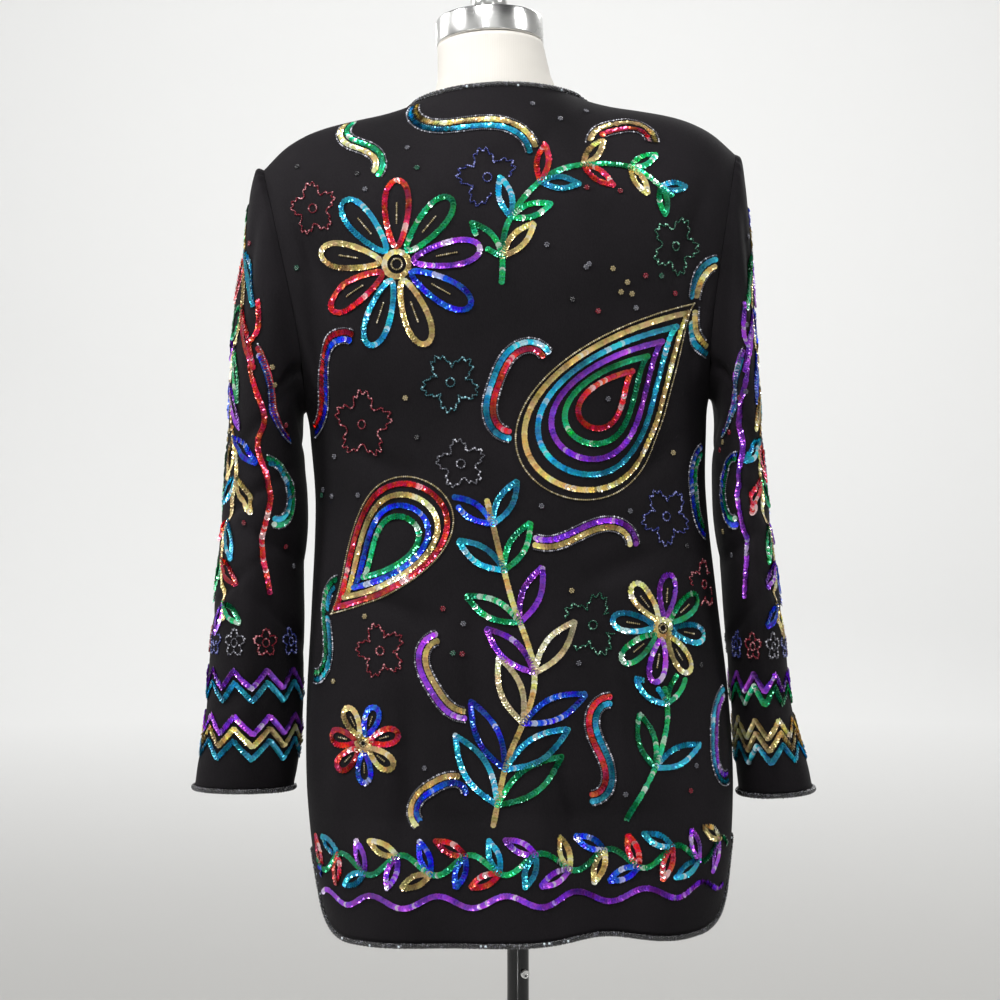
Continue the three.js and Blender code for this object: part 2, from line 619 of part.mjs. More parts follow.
// A wall from just inside a panel's cloth to well outside it
function panelCutter(panel) {
  const set = (distance) =>
    panel.rows.map((row, r) => row.map((point, c) => moved(point, panel.normals[r][c], distance)));
  return solid(wall(set(CUTTER), set(-CLOTH - TOUCH), false));
}

// A strip over the shoulder seam on one side, where the two panels' cutters leave a slit
function seamCutter(side) {
  const seam = HALF_SHARES.map((share) => share * SHOULDER_HALF).filter((x) => x >= NECK_HALF);
  const places = [NECK_HALF - 3 * EDGING_RADIUS, ...seam];
  const row = (y, rise) => places.map((x) => lean(side * x, y, topEdge("back", x) + rise));
  const outer = [row(-CLOTH, CUTTER), row(CLOTH, CUTTER)];
  const inner = [row(-CLOTH, -CLOTH - TOUCH), row(CLOTH, -CLOTH - TOUCH)];
  return solid(wall(outer, inner, false));
}

// The blank trimmed to lie just under the cloth wherever it would reach it
function formTorso() {
  let form = solid(formBlank());
  const cutters = [back, frontLeft, frontRight].map(panelCutter);
  cutters.push(seamCutter(1), seamCutter(-1), solid(neckEdging(EDGING_RADIUS + TOUCH)));
  for (const cutter of cutters) form = form.subtract(cutter);
  const [whole] = form.decompose().sort((a, b) => b.volume() - a.volume());
  const { vertProperties, triVerts } = whole.getMesh();
  const geometry = new THREE.BufferGeometry();
  geometry.setAttribute("position", new THREE.BufferAttribute(vertProperties, 3));
  geometry.setIndex(new THREE.BufferAttribute(triVerts, 1));
  geometry.computeVertexNormals();
  return geometry;
}

const lathe = (profile, sides) => {
  const points = profile.map(([radius, height]) => new THREE.Vector2(radius, height));
  return new THREE.LatheGeometry(points, sides).rotateX(Math.PI / 2);
};

const capProfile = [
  [0, 0],
  [CAP.radius - CAP.rim, 0],
  [CAP.radius, CAP.rim],
  [CAP.radius, CAP.height - CAP.rim],
  [CAP.radius - CAP.rim, CAP.height],
  [0, CAP.height],
];
const knobProfile = [
  [0, 0],
  [KNOB.foot, 0],
  [KNOB.foot, 2],
  [KNOB.waist, 7],
  [KNOB.ball, 16],
  [KNOB.ball * 0.94, 25],
  [KNOB.ball * 0.66, 33],
  [KNOB.ball * 0.3, 37],
  [0, KNOB.height],
];
const baseProfile = [
  [0, 0],
  [BASE.radius, 0],
  [BASE.radius, BASE.thickness - BASE.bevel],
  [BASE.radius - BASE.bevel, BASE.thickness],
  [0, BASE.thickness],
];
const screwProfile = [
  [0, 0],
  [POLE_SCREW.radius, 0],
  [POLE_SCREW.radius, POLE_SCREW.stand],
  [0, POLE_SCREW.stand],
];
const socketProfile = [
  [SOCKET.bore, 0],
  [SOCKET.flange, 0],
  [SOCKET.flange, 5],
  [SOCKET.radius, 9],
  [POLE.radius + SOCKET.wall, SOCKET.height],
  [SOCKET.bore, SOCKET.height],
  [SOCKET.bore, 0],
];

const finish = (color, roughness, metalness) => new THREE.MeshStandardMaterial({ color, roughness, metalness });
const crepe = finish(0x1c1b1f, 0.85, 0);
const beads = finish(0x0b0b0d, 0.25, 0.1);
const jersey = finish(0xefece5, 0.9, 0);
const chrome = finish(0xd6d6d4, 0.12, 1);
const enamel = finish(0x101012, 0.3, 0.2);

const jacket = new THREE.Group();
const place = (name, geometry, material, set) => {
  const mesh = new THREE.Mesh(geometry, material);
  mesh.name = name;
  if (set) set(mesh);
  jacket.add(mesh);
};

place("back", back.geometry, crepe);
place("front_left", frontLeft.geometry, crepe);
place("front_right", frontRight.geometry, crepe);
place("sleeve_left", sleeveLeft.geometry, crepe);
place("sleeve_right", sleeveRight.geometry, crepe);
place("neck_edging", neckEdging(), beads);
place("edging_back", backEdging(back), beads);
place("edging_front_left", frontEdging(frontLeft, 0, 1), beads);
place("edging_front_right", frontEdging(frontRight, widest, -1), beads);
place("cuff_edging_left", cuffEdging(sleeveLeft), beads);
place("cuff_edging_right", cuffEdging(sleeveRight), beads);
place("form_torso", formTorso(), jersey);

const capFoot = lean(NECK.aside, -CAP.forward, FORM[FORM.length - 1].z + 2 * TOUCH);
place("neck_cap", lathe(capProfile, 48), chrome, (mesh) => {
  mesh.position.copy(capFoot);
  mesh.rotation.set(NECK.tilt, LEAN.angle, 0);
});
place("cap_knob", lathe(knobProfile, 24), chrome, (mesh) => {
  mesh.position.copy(capFoot);
  mesh.rotation.set(NECK.tilt, LEAN.angle, 0);
  mesh.translateZ(CAP.height + TOUCH);
});

const plateHalf = HANGER_PLATE.thickness / 2;
const plate = new THREE.CylinderGeometry(HANGER_PLATE.radius, HANGER_PLATE.radius, HANGER_PLATE.thickness, 32);
place("hanger_plate", plate.rotateX(Math.PI / 2), enamel, (mesh) => {
  mesh.position.copy(lean(0, 0, FORM[0].z - TOUCH - plateHalf));
  mesh.rotation.y = LEAN.angle;
});
const poleFoot = BASE.thickness + TOUCH;
const plateUnder = lean(0, 0, FORM[0].z - TOUCH - HANGER_PLATE.thickness).z;
const poleLength = plateUnder - TOUCH - HANGER_PLATE.radius * Math.sin(LEAN.angle) - poleFoot;
place("pole", new THREE.CylinderGeometry(POLE.radius, POLE.radius, poleLength, POLE.sides), enamel, (mesh) => {
  mesh.rotation.x = Math.PI / 2;
  mesh.position.z = poleFoot + poleLength / 2;
});
place("pole_screw", lathe(screwProfile, 16), chrome, (mesh) => {
  const reach = POLE.radius + TOUCH;
  mesh.position.set(Math.cos(POLE_SCREW.bearing) * reach, Math.sin(POLE_SCREW.bearing) * reach, POLE_SCREW.z);
  mesh.rotation.set(0, Math.PI / 2, 0);
  mesh.rotateOnWorldAxis(new THREE.Vector3(0, 0, 1), POLE_SCREW.bearing);
});
place("pole_socket", lathe(socketProfile, 32), enamel, (mesh) => {
  mesh.position.z = BASE.thickness + TOUCH;
});
place("base", lathe(baseProfile, BASE.sides), enamel);

export default jacket;
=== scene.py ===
import json
import math

import bpy
import numpy as np
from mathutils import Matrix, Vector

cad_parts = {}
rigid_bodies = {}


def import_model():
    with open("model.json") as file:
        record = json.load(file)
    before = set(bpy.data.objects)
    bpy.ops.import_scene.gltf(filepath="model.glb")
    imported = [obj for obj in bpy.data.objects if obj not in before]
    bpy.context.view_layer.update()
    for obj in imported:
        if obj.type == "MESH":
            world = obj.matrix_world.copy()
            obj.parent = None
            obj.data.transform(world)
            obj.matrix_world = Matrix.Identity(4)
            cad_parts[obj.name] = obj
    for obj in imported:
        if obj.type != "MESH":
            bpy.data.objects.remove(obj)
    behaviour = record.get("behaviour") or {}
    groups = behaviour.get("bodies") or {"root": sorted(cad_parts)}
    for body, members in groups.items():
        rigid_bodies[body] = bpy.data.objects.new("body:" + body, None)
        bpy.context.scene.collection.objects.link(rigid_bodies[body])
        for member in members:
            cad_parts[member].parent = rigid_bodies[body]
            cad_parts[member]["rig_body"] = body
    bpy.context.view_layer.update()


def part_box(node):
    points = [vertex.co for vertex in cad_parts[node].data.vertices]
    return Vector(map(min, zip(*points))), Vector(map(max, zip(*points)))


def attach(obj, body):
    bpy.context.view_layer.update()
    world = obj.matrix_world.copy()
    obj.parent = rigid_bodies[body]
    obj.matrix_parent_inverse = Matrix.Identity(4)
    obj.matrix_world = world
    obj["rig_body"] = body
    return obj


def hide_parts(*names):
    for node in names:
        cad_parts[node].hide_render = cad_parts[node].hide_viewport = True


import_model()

print("frame loaded")

# Camera, light and floor

studio = {
    "eye": (0.0173, 2.5, 0.985),  # level, behind the jacket
    "lens": 93.75,  # sees 0.96 m at the pole
    "floorFlat": 2.4, "floorReach": 7.0, "floorRise": 5.0, "floorSides": 96,
    # The floor is painted darker than the wall: partly painted shade at the backdrop's foot, partly a greyer
    # floor that throws less light up
    "floorColour": (0.50, 0.495, 0.48), "wallColour": (0.86, 0.86, 0.85),
    "wallFade": 0.42,  # the height over which the floor's colour turns into the wall's
    "skyColour": (0.93, 0.94, 0.96), "skyStrength": 0.07,
}
# Where each light stands, what it looks at, how wide it is and how strong
lights = {
    "keyLight": ((3.2, 1.1, 2.9), (0, 0, 1.2), 0.7, 84),
    "fillLight": ((-3.1, 1.0, 2.8), (0, 0, 1.2), 1.0, 46),
    "topLight": ((0.25, 0.85, 2.3), (0, 0.1, 1.2), 0.5, 17),
    "windowLight": ((-0.4, 4.6, 3.2), (0, 0, 1.2), 2.4, 7),
    "frontLight": ((-1.5, -2.6, 3.0), (0, 0, 1.1), 1.2, 44),
    "sideLight": ((3.1, -1.6, 2.4), (0, 0, 1.1), 1.6, 22),
    "wallLight": ((0, -3.4, 4.2), (0, -6.8, 1.6), 2.6, 99),
    "glintHigh": ((0.55, 3.0, 2.5), (0, 0, 1.1), 0.16, 5),
    "glintLeft": ((1.9, 2.3, 1.3), (0, 0, 0.9), 0.14, 4),
    "glintRight": ((-1.4, 2.9, 1.5), (0, 0, 0.9), 0.14, 4),
    "glintLow": ((0.2, 2.6, 0.35), (0, 0, 0.8), 0.14, 1.2),
    "glintFront": ((0.5, -2.8, 1.9), (0, 0, 1.0), 0.16, 4),
}


def makeCamera():
    camera = bpy.data.objects.new("camera", bpy.data.cameras.new("camera"))
    camera.data.lens = studio["lens"]
    camera.data.clip_end = 100
    camera.location = studio["eye"]
    camera.rotation_euler = (math.pi / 2, 0, math.pi)
    bpy.context.collection.objects.link(camera)
    bpy.context.scene.camera = camera


def makeLight(name, place, target, size, power):
    data = bpy.data.lights.new(name, "AREA")
    data.shape = "SQUARE"
    data.size = size
    data.energy = power
    light = bpy.data.objects.new(name, data)
    away = np.array(place) - np.array(target)
    light.location = place
    tilt = math.acos(away[2] / np.linalg.norm(away))
    light.rotation_euler = (tilt, 0, math.atan2(away[0], -away[1]))
    bpy.context.collection.objects.link(light)


makeCamera()
for name, values in lights.items():
    makeLight(name, *values)
world = bpy.data.worlds.new("studio")
world.use_nodes = True
sky = world.node_tree.nodes["Background"]
sky.inputs["Color"].default_value = (*studio["skyColour"], 1)
sky.inputs["Strength"].default_value = studio["skyStrength"]
bpy.context.scene.world = world
bpy.context.scene.view_settings.view_transform = "Standard"

# Materials


class Finish:
    # A material and the few node steps that the finishes below share

    def __init__(self, name, colour, roughness, metallic=0.0):
        self.material = bpy.data.materials.new(name)
        self.material.use_nodes = True
        self.tree = self.material.node_tree
        self.shader = self.tree.nodes["Principled BSDF"]
        self.place = self.add("ShaderNodeTexCoord").outputs["Object"]
        self.set("Base Color", (*colour, 1))
        self.set("Roughness", roughness)
        self.set("Metallic", metallic)

    def add(self, kind, **values):
        node = self.tree.nodes.new(kind)
        for key, value in values.items():
            setattr(node, key, value)
        return node

    def set(self, socket, value):
        self.shader.inputs[socket].default_value = value

    def link(self, output, socket):
        self.tree.links.new(output, socket)

    def noise(self, scale, detail=3.0, stretch=(1, 1, 1)):
        mapping = self.add("ShaderNodeMapping")
        mapping.inputs["Scale"].default_value = stretch
        self.link(self.place, mapping.inputs["Vector"])
        noise = self.add("ShaderNodeTexNoise")
        noise.inputs["Scale"].default_value = scale
        noise.inputs["Detail"].default_value = detail
        self.link(mapping.outputs["Vector"], noise.inputs["Vector"])
        return noise.outputs["Fac"]

    def ramp(self, value, low, high, near, far):
        ramp = self.add("ShaderNodeValToRGB")
        ramp.color_ramp.elements[0].position = low
        ramp.color_ramp.elements[1].position = high
        ramp.color_ramp.elements[0].color = (*near, 1)
        ramp.color_ramp.elements[1].color = (*far, 1)
        self.link(value, ramp.inputs["Fac"])
        return ramp.outputs["Color"]

    def range(self, value, low, high, toLow, toHigh):
        node = self.add("ShaderNodeMapRange")
        for socket, number in zip(("From Min", "From Max", "To Min", "To Max"), (low, high, toLow, toHigh)):
            node.inputs[socket].default_value = number
        self.link(value, node.inputs["Value"])
        return node.outputs["Result"]

    def bump(self, height, strength, distance, under=None):
        node = self.add("ShaderNodeBump")
        node.inputs["Strength"].default_value = strength
        node.inputs["Distance"].default_value = distance
        self.link(height, node.inputs["Height"])
        if under is not None:
            self.link(under, node.inputs["Normal"])
        return node.outputs["Normal"]

    def colour(self, output):
        self.link(output, self.shader.inputs["Base Color"])

    def roughness(self, output):
        self.link(output, self.shader.inputs["Roughness"])

    def normal(self, output):
        self.link(output, self.shader.inputs["Normal"])


def makeCrepe():
    finish = Finish("blackCrepe", (0.008, 0.0075, 0.009), 0.9)
    finish.set("Sheen Weight", 0.022)
    finish.set("Sheen Roughness", 0.32)
    finish.set("Specular IOR Level", 0.16)
    grain = finish.noise(900, 2, (1.0, 1.0, 0.45))  # crepe's short twisted threads
    patches = finish.noise(9, 3)
    finish.colour(finish.ramp(patches, 0.3, 0.75, (0.0052, 0.0044, 0.0054), (0.0100, 0.0083, 0.0102)))
    finish.roughness(finish.range(grain, 0.3, 0.7, 0.8, 0.95))
    soft = finish.bump(patches, 0.25, 0.004)
    finish.normal(finish.bump(grain, 0.4, 0.0004, soft))
    return finish.material


def makeSequin():
    finish = Finish("cupSequins", (0.6, 0.5, 0.3), 0.2, 0.62)
    finish.set("Coat Weight", 0.6)
    finish.set("Coat Roughness", 0.05)
    tint = finish.add("ShaderNodeAttribute", attribute_name="tint")
    spots = finish.noise(160, 1)
    shift = finish.add("ShaderNodeHueSaturation")  # the coat's colour drifts from cup to cup
    finish.link(finish.range(spots, 0.3, 0.7, 0.468, 0.532), shift.inputs["Hue"])
    finish.link(tint.outputs["Color"], shift.inputs["Color"])
    finish.colour(shift.outputs["Color"])
    finish.roughness(finish.range(spots, 0.3, 0.7, 0.10, 0.26))
    finish.normal(finish.bump(spots, 0.2, 0.0005))
    return finish.material


def makeBead():
    finish = Finish("seedBeads", (0.01, 0.01, 0.012), 0.12)
    finish.set("Coat Weight", 0.7)
    finish.set("Coat Roughness", 0.05)
    finish.set("Specular IOR Level", 0.6)
    tint = finish.add("ShaderNodeAttribute", attribute_name="tint")
    finish.colour(tint.outputs["Color"])
    finish.roughness(finish.range(finish.noise(300, 1), 0.3, 0.7, 0.1, 0.3))
    return finish.material


def makeJersey():
    finish = Finish("whiteJersey", (0.66, 0.63, 0.58), 0.88)
    finish.set("Sheen Weight", 0.05)
    knit = finish.add("ShaderNodeTexWave", wave_type="BANDS", bands_direction="X")
    knit.inputs["Scale"].default_value = 190
    knit.inputs["Distortion"].default_value = 0.6
    finish.link(finish.place, knit.inputs["Vector"])
    soft = finish.noise(14, 3)
    finish.colour(finish.ramp(soft, 0.3, 0.8, (0.62, 0.59, 0.54), (0.68, 0.655, 0.61)))
    finish.roughness(finish.range(soft, 0.3, 0.7, 0.82, 0.95))
    finish.normal(finish.bump(knit.outputs["Fac"], 0.2, 0.0004))
    return finish.material


def makeChrome():
    finish = Finish("chromePlate", (0.80, 0.80, 0.80), 0.08, 1.0)
    smears = finish.noise(30, 4)
    finish.roughness(finish.range(smears, 0.35, 0.7, 0.17, 0.30))
    finish.colour(finish.ramp(smears, 0.3, 0.8, (0.80, 0.80, 0.79), (0.90, 0.90, 0.88)))
    return finish.material


def makeEnamel():
    finish = Finish("blackEnamel", (0.006, 0.006, 0.0065), 0.16)
    finish.set("Coat Weight", 0.3)
    finish.set("Coat Roughness", 0.06)
    dust = finish.noise(60, 4)
    finish.roughness(finish.range(dust, 0.35, 0.75, 0.12, 0.32))
    finish.colour(finish.ramp(dust, 0.4, 0.85, (0.005, 0.005, 0.0055), (0.014, 0.014, 0.014)))
    finish.normal(finish.bump(finish.noise(420, 2), 0.05, 0.0002))
    return finish.material


def makeFloorPaint():
    finish = Finish("paleFloor", studio["floorColour"], 0.92)
    finish.set("Specular IOR Level", 0.1)
    # The wall's colour darkens into the floor's over the fade height: partly painted shade, partly a greyer
    # floor
    height = finish.add("ShaderNodeSeparateXYZ")
    finish.link(finish.place, height.inputs["Vector"])
    wall = finish.range(height.outputs["Z"], 0.0, studio["wallFade"], 0, 1)
    finish.colour(finish.ramp(wall, 0.0, 1.0, studio["floorColour"], studio["wallColour"]))
    return finish.material


finishes = {
    "crepe": makeCrepe(),
    "sequins": makeSequin(),
    "bead_edging": makeBead(),
    "jersey": makeJersey(),
    "chrome": makeChrome(),
    "enamel": makeEnamel(),
}
print("materials made")

# Mesh tools


def isInsideOut(points, faces):
    # Sign of the enclosed volume: the sum over the faces of a point dotted with the cross of two others
    a, b, c = points[faces[:, 0]], points[faces[:, 1]], points[faces[:, 2]]
    total = np.einsum("ij,ij->", a, np.cross(b, c))
    if faces.shape[1] == 4:
        d = points[faces[:, 3]]
        total += np.einsum("ij,ij->", a, np.cross(c, d))
    return total < 0


def giveTint(mesh, tint):
    layer = mesh.attributes.new("tint", "FLOAT_COLOR", "POINT")
    layer.data.foreach_set("color", tint.astype(np.float32).ravel())


def newObject(name, points, faceSets, material, smooth=True):
    # One object from an array of points and arrays of faces
    mesh = bpy.data.meshes.new(name)
    faces = [face for faceSet in faceSets for face in faceSet.tolist()]
    mesh.from_pydata(points.tolist(), [], faces)
    mesh.polygons.foreach_set("use_smooth", np.full(len(mesh.polygons), smooth))
    mesh.materials.append(material)
    thing = bpy.data.objects.new(name, mesh)
    bpy.context.collection.objects.link(thing)
    return thing


def newPiece(name, points, faceSets, slot, replaced=(), tint=None, smooth=True):
    # An object that rides on the part's one body
    piece = newObject(name, points, faceSets, finishes[slot], smooth)
    if tint is not None:
        giveTint(piece.data, tint)
    piece.data.update()
    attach(piece, "root")
    if replaced:
        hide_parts(*replaced)
    return piece


def gridFaces(rows, columns, wrap, start=0):
    # Quads of a grid: each joins a place, the next along the row, and the two above them
    r, c = np.meshgrid(np.arange(rows - 1), np.arange(columns if wrap else columns - 1), indexing="ij")
    at = lambda row, column: start + row * columns + column % columns
    return np.stack([at(r, c), at(r, c + 1), at(r + 1, c + 1), at(r + 1, c)], -1).reshape(-1, 4)


def shellFaces(rows, columns, wrap):
    # Quads of an outer grid, of an inner grid turned round, and of the rims that join them
    count = rows * columns
    at = lambda layer, row, column: layer * count + row * columns + column % columns
    strips = [gridFaces(rows, columns, wrap), gridFaces(rows, columns, wrap, count)[:, ::-1]]
    c = np.arange(columns if wrap else columns - 1)
    top = rows - 1
    strips.append(np.stack([at(0, 0, c), at(1, 0, c), at(1, 0, c + 1), at(0, 0, c + 1)], -1))
    strips.append(np.stack([at(0, top, c), at(0, top, c + 1), at(1, top, c + 1), at(1, top, c)], -1))
    if not wrap:
        r, last = np.arange(rows - 1), columns - 1
        strips.append(np.stack([at(0, r, 0), at(0, r + 1, 0), at(1, r + 1, 0), at(1, r, 0)], -1))
        strips.append(np.stack([at(0, r, last), at(1, r, last), at(1, r + 1, last), at(0, r + 1, last)], -1))
    return np.concatenate(strips)


def newShell(name, outer, inner, wrap, slot, replaced):
    # Two grids of the same size, one inside the other, closed to one skin
    points = np.concatenate([outer.reshape(-1, 3), inner.reshape(-1, 3)])
    faces = shellFaces(outer.shape[0], outer.shape[1], wrap)
    if isInsideOut(points, faces):
        faces = faces[:, ::-1]
    return newPiece(name, points, [faces], slot, replaced)


def newLoft(name, rings, slot, replaced):
    # Rings joined by quads, with a fan to the middle of the first and of the last ring
    rows, sides = rings.shape[:2]
    points = np.concatenate([rings.reshape(-1, 3), rings[0].mean(0)[None], rings[-1].mean(0)[None]])
    quads = gridFaces(rows, sides, True)
    corner = np.arange(sides)
    after = (corner + 1) % sides
    last = (rows - 1) * sides
    low = np.stack([after, corner, np.full(sides, rows * sides)], -1)
    high = np.stack([corner + last, after + last, np.full(sides, rows * sides + 1)], -1)
    if isInsideOut(points, quads):
        quads, low, high = quads[:, ::-1], low[:, ::-1], high[:, ::-1]
    return newPiece(name, points, [quads, low, high], slot, replaced)


def unit(vectors):
    return vectors / np.maximum(np.linalg.norm(vectors, axis=-1, keepdims=True), 1e-12)


# The jacket's shape, in metres, the same as that of the solids

jacket = {
    "hem": 0.584, "ventTop": 0.695, "underarm": 1.076, "tip": 1.309,
    "neckPoint": 1.367, "nape": 1.3725, "frontNeck": 1.286,
    "shoulderHalf": 0.226, "neckHalf": 0.080, "frontEdge": 0.0072,
    "cloth": 0.0018, "seamGap": 0.0004, "ventSpread": 0.010,
    "cornerAcross": 0.100, "cornerUp": 0.054, "frontCorner": 0.032,
    "squareness": 2.3, "ridgeDrop": 0.105,
    "leanAngle": math.radians(1.9), "leanX": -0.004, "leanZ": 0.650,
    "rows": 170, "halfColumns": 64,
    "lowShare": 0.68,  # share of the rows that lie below the underarm
    "hemFade": 0.1,  # height over which the hem's curve dies out in the rows
    "slopeStep": 0.0005,
}
bodyLevels = {
    "z": (
        0.560, 0.590, 0.620, 0.660, 0.716, 0.793, 0.889, 0.985,
        1.040, 1.076, 1.110, 1.150, 1.200, 1.260, 1.320, 1.400,
    ),
    "half": (
        0.180, 0.187, 0.194, 0.200, 0.204, 0.202, 0.194, 0.187,
        0.189, 0.193, 0.209, 0.224, 0.236, 0.243, 0.247, 0.250,
    ),
    "back": (
        0.136, 0.135, 0.134, 0.131, 0.127, 0.120, 0.113, 0.108,
        0.108, 0.110, 0.113, 0.116, 0.117, 0.112, 0.102, 0.092,
    ),
    "front": (
        0.138, 0.138, 0.137, 0.136, 0.133, 0.129, 0.126, 0.129,
        0.137, 0.141, 0.141, 0.136, 0.124, 0.104, 0.084, 0.070,
    ),
}
shoulderLine = {
    "x": (0, 0.030, 0.060, 0.080, 0.105, 0.137, 0.165, 0.185, 0.205, 0.226),
    "z": (1.403, 1.396, 1.379, 1.367, 1.359, 1.353, 1.347, 1.340, 1.3285, 1.309),
}
armholeLine = {
    "z": (1.076, 1.084, 1.100, 1.138, 1.186, 1.234, 1.273, 1.309),
    "back": (0.193, 0.1915, 0.191, 0.193, 0.200, 0.209, 0.217, 0.226),
    "front": (0.193, 0.1905, 0.1875, 0.185, 0.190, 0.201, 0.213, 0.226),
}
# Folds that the solids have too: where each runs at its foot and head, how wide and how deep it is
foldColumns = ("foot", "head", "low", "high", "width", "depth")
foldStart = -0.2  # how far below its foot a fold still shows, as a share of its height
folds = {
    "back": (
        (-0.076, -0.052, 0.560, 0.790, 0.034, -0.015),
        (-0.150, -0.142, 0.560, 0.760, 0.030, 0.009),
        (-0.014, -0.006, 0.560, 0.740, 0.040, 0.006),
        (0.074, 0.060, 0.560, 0.720, 0.034, -0.006),
        (0.138, 0.122, 0.560, 0.760, 0.036, 0.006),
        (-0.168, -0.186, 1.090, 1.280, 0.009, -0.008),
        (0.168, 0.186, 1.090, 1.280, 0.009, -0.008),
        (-0.120, -0.168, 0.900, 1.130, 0.022, -0.004),
        (0.118, 0.166, 0.880, 1.110, 0.024, -0.004),
    ),
    "front": (
        (-0.066, -0.060, 0.560, 0.860, 0.030, -0.008),
        (0.062, 0.058, 0.560, 0.820, 0.032, -0.009),
        (-0.132, -0.110, 0.560, 0.900, 0.034, 0.007),
        (0.128, 0.112, 0.560, 0.880, 0.032, 0.008),
        (-0.168, -0.180, 1.100, 1.270, 0.010, -0.006),
        (0.168, 0.180, 1.100, 1.270, 0.010, -0.006),
    ),
}
# Where the folds draw the hem up or let it down: place across, width and height
hemLift = ((-0.068, 0.038, 0.005), (-0.140, 0.036, -0.003))
# Softer creases that only the cloth has: from one place to another, how wide and how deep
creaseForm = {"bow": 0.05, "fade": 0.7, "fadeStep": 0.25, "startWidth": 0.8, "widening": 0.5}
creases = {
    "back": (
        (-0.150, 1.180, -0.198, 1.300, 0.0079, -0.0069),
        (-0.172, 1.070, -0.188, 1.200, 0.0070, -0.0088),
        (-0.140, 1.110, -0.172, 1.290, 0.0088, -0.0072),
        (0.150, 1.160, 0.199, 1.296, 0.0079, -0.0069),
        (0.172, 1.065, 0.190, 1.190, 0.0070, -0.0088),
        (0.138, 1.120, 0.168, 1.300, 0.0097, -0.0081),
        (0.165, 1.060, 0.085, 1.005, 0.0106, -0.0072),
        (-0.170, 1.050, -0.075, 0.980, 0.0114, -0.0068),
        (-0.155, 0.935, -0.055, 0.900, 0.0097, -0.0054),
        (0.160, 0.905, 0.065, 0.865, 0.0106, -0.0061),
        (0.040, 0.890, 0.018, 0.690, 0.0150, -0.0058),
        (0.105, 0.840, 0.120, 0.620, 0.0123, -0.0086),
        (-0.100, 0.880, -0.118, 0.640, 0.0132, 0.0076),
        (-0.020, 0.780, -0.036, 0.590, 0.0106, -0.0083),
        (0.160, 0.820, 0.168, 0.630, 0.0106, 0.0072),
        (-0.060, 1.335, 0.012, 1.285, 0.0123, -0.0040),
        (0.050, 1.340, 0.087, 1.235, 0.0123, -0.0036),
    ),
    "front": (
        (-0.150, 1.180, -0.197, 1.298, 0.0079, -0.0063),
        (0.150, 1.190, 0.197, 1.300, 0.0079, -0.0063),
        (0.168, 1.070, 0.095, 1.092, 0.0106, -0.0083),
        (-0.168, 1.065, -0.100, 1.082, 0.0106, -0.0079),
        (0.155, 1.005, 0.055, 0.955, 0.0114, -0.0068),
        (-0.155, 0.990, -0.065, 0.940, 0.0106, -0.0065),
        (-0.095, 0.890, -0.100, 0.640, 0.0132, -0.0079),
        (0.092, 0.870, 0.100, 0.620, 0.0123, -0.0079),
        (0.040, 0.910, 0.038, 0.650, 0.0106, 0.0047),
        (-0.038, 0.890, -0.040, 0.640, 0.0106, 0.0047),
    ),
}


def lookUp(table, column, at, key="z"):
    # A cubic between two rows whose slope at each row is the slope between its neighbours
    keys, values = np.array(table[key], float), np.array(table[column], float)
    last = len(keys) - 1
    before, after = np.maximum(np.arange(last + 1) - 1, 0), np.minimum(np.arange(last + 1) + 1, last)
    slopes = (values[after] - values[before]) / (keys[after] - keys[before])
    at = np.clip(at, keys[0], keys[-1])
    i = np.clip(np.searchsorted(keys, at, side="right") - 1, 0, last - 1)
    width = keys[i + 1] - keys[i]
    t = (at - keys[i]) / width
    low = values[i] * (2 * t**3 - 3 * t**2 + 1) + width * slopes[i] * (t**3 - 2 * t**2 + t)
    return low + values[i + 1] * (3 * t**2 - 2 * t**3) + width * slopes[i + 1] * (t**3 - t**2)


def bell(offset, width):
    # One in the middle, falling off as the exponential of the square of the offset in widths
    return np.exp(-((offset / width) ** 2))


def lean(points):
    # The level shape turned a little about the Y axis, round a point near the hem
    x, y, z = np.moveaxis(points, -1, 0)
    up, turn = z - jacket["leanZ"], jacket["leanAngle"]
    across = jacket["leanX"] + x * math.cos(turn) + up * math.sin(turn)
    return np.stack([across, y, jacket["leanZ"] + up * math.cos(turn) - x * math.sin(turn)], -1)


def foldDepth(side, x, z):
    # Sum of bells across each fold, faded by a quarter or half wave along it
    depth = np.zeros(np.broadcast(x, z).shape)
    for row in folds[side]:
        fold = dict(zip(foldColumns, row))
        along = (z - fold["low"]) / (fold["high"] - fold["low"])
        path = fold["foot"] + (fold["head"] - fold["foot"]) * along
        part = np.clip(along, 0, 1)
        fade = np.cos(part * math.pi / 2) if fold["low"] < jacket["hem"] else np.sin(part * math.pi)
        shown = (along < 1) & (along > foldStart)
        depth = depth + np.where(shown, fold["depth"] * fade * bell(x - path, fold["width"]), 0)
    return depth


def creaseDepth(side, x, z):
    # Sum of bells across each crease's line, faded by half a wave along it, with the line bowed a little
    depth = np.zeros(np.broadcast(x, z).shape)
    for i, (x0, z0, x1, z1, width, deep) in enumerate(creases[side]):
        length = math.hypot(x1 - x0, z1 - z0)
        ux, uz = (x1 - x0) / length, (z1 - z0) / length
        along = ((x - x0) * ux + (z - z0) * uz) / length
        bow = creaseForm["bow"] * length * np.sin(math.pi * along) * (-1) ** i
        off = (x - x0) * -uz + (z - z0) * ux - bow
        fadePower = creaseForm["fade"] + creaseForm["fadeStep"] * (i % 3)
        fade = np.sin(math.pi * np.clip(along, 0, 1)) ** fadePower
        wide = width * (creaseForm["startWidth"] + creaseForm["widening"] * along)
        depth = depth + deep * fade * bell(off, wide)
    return depth


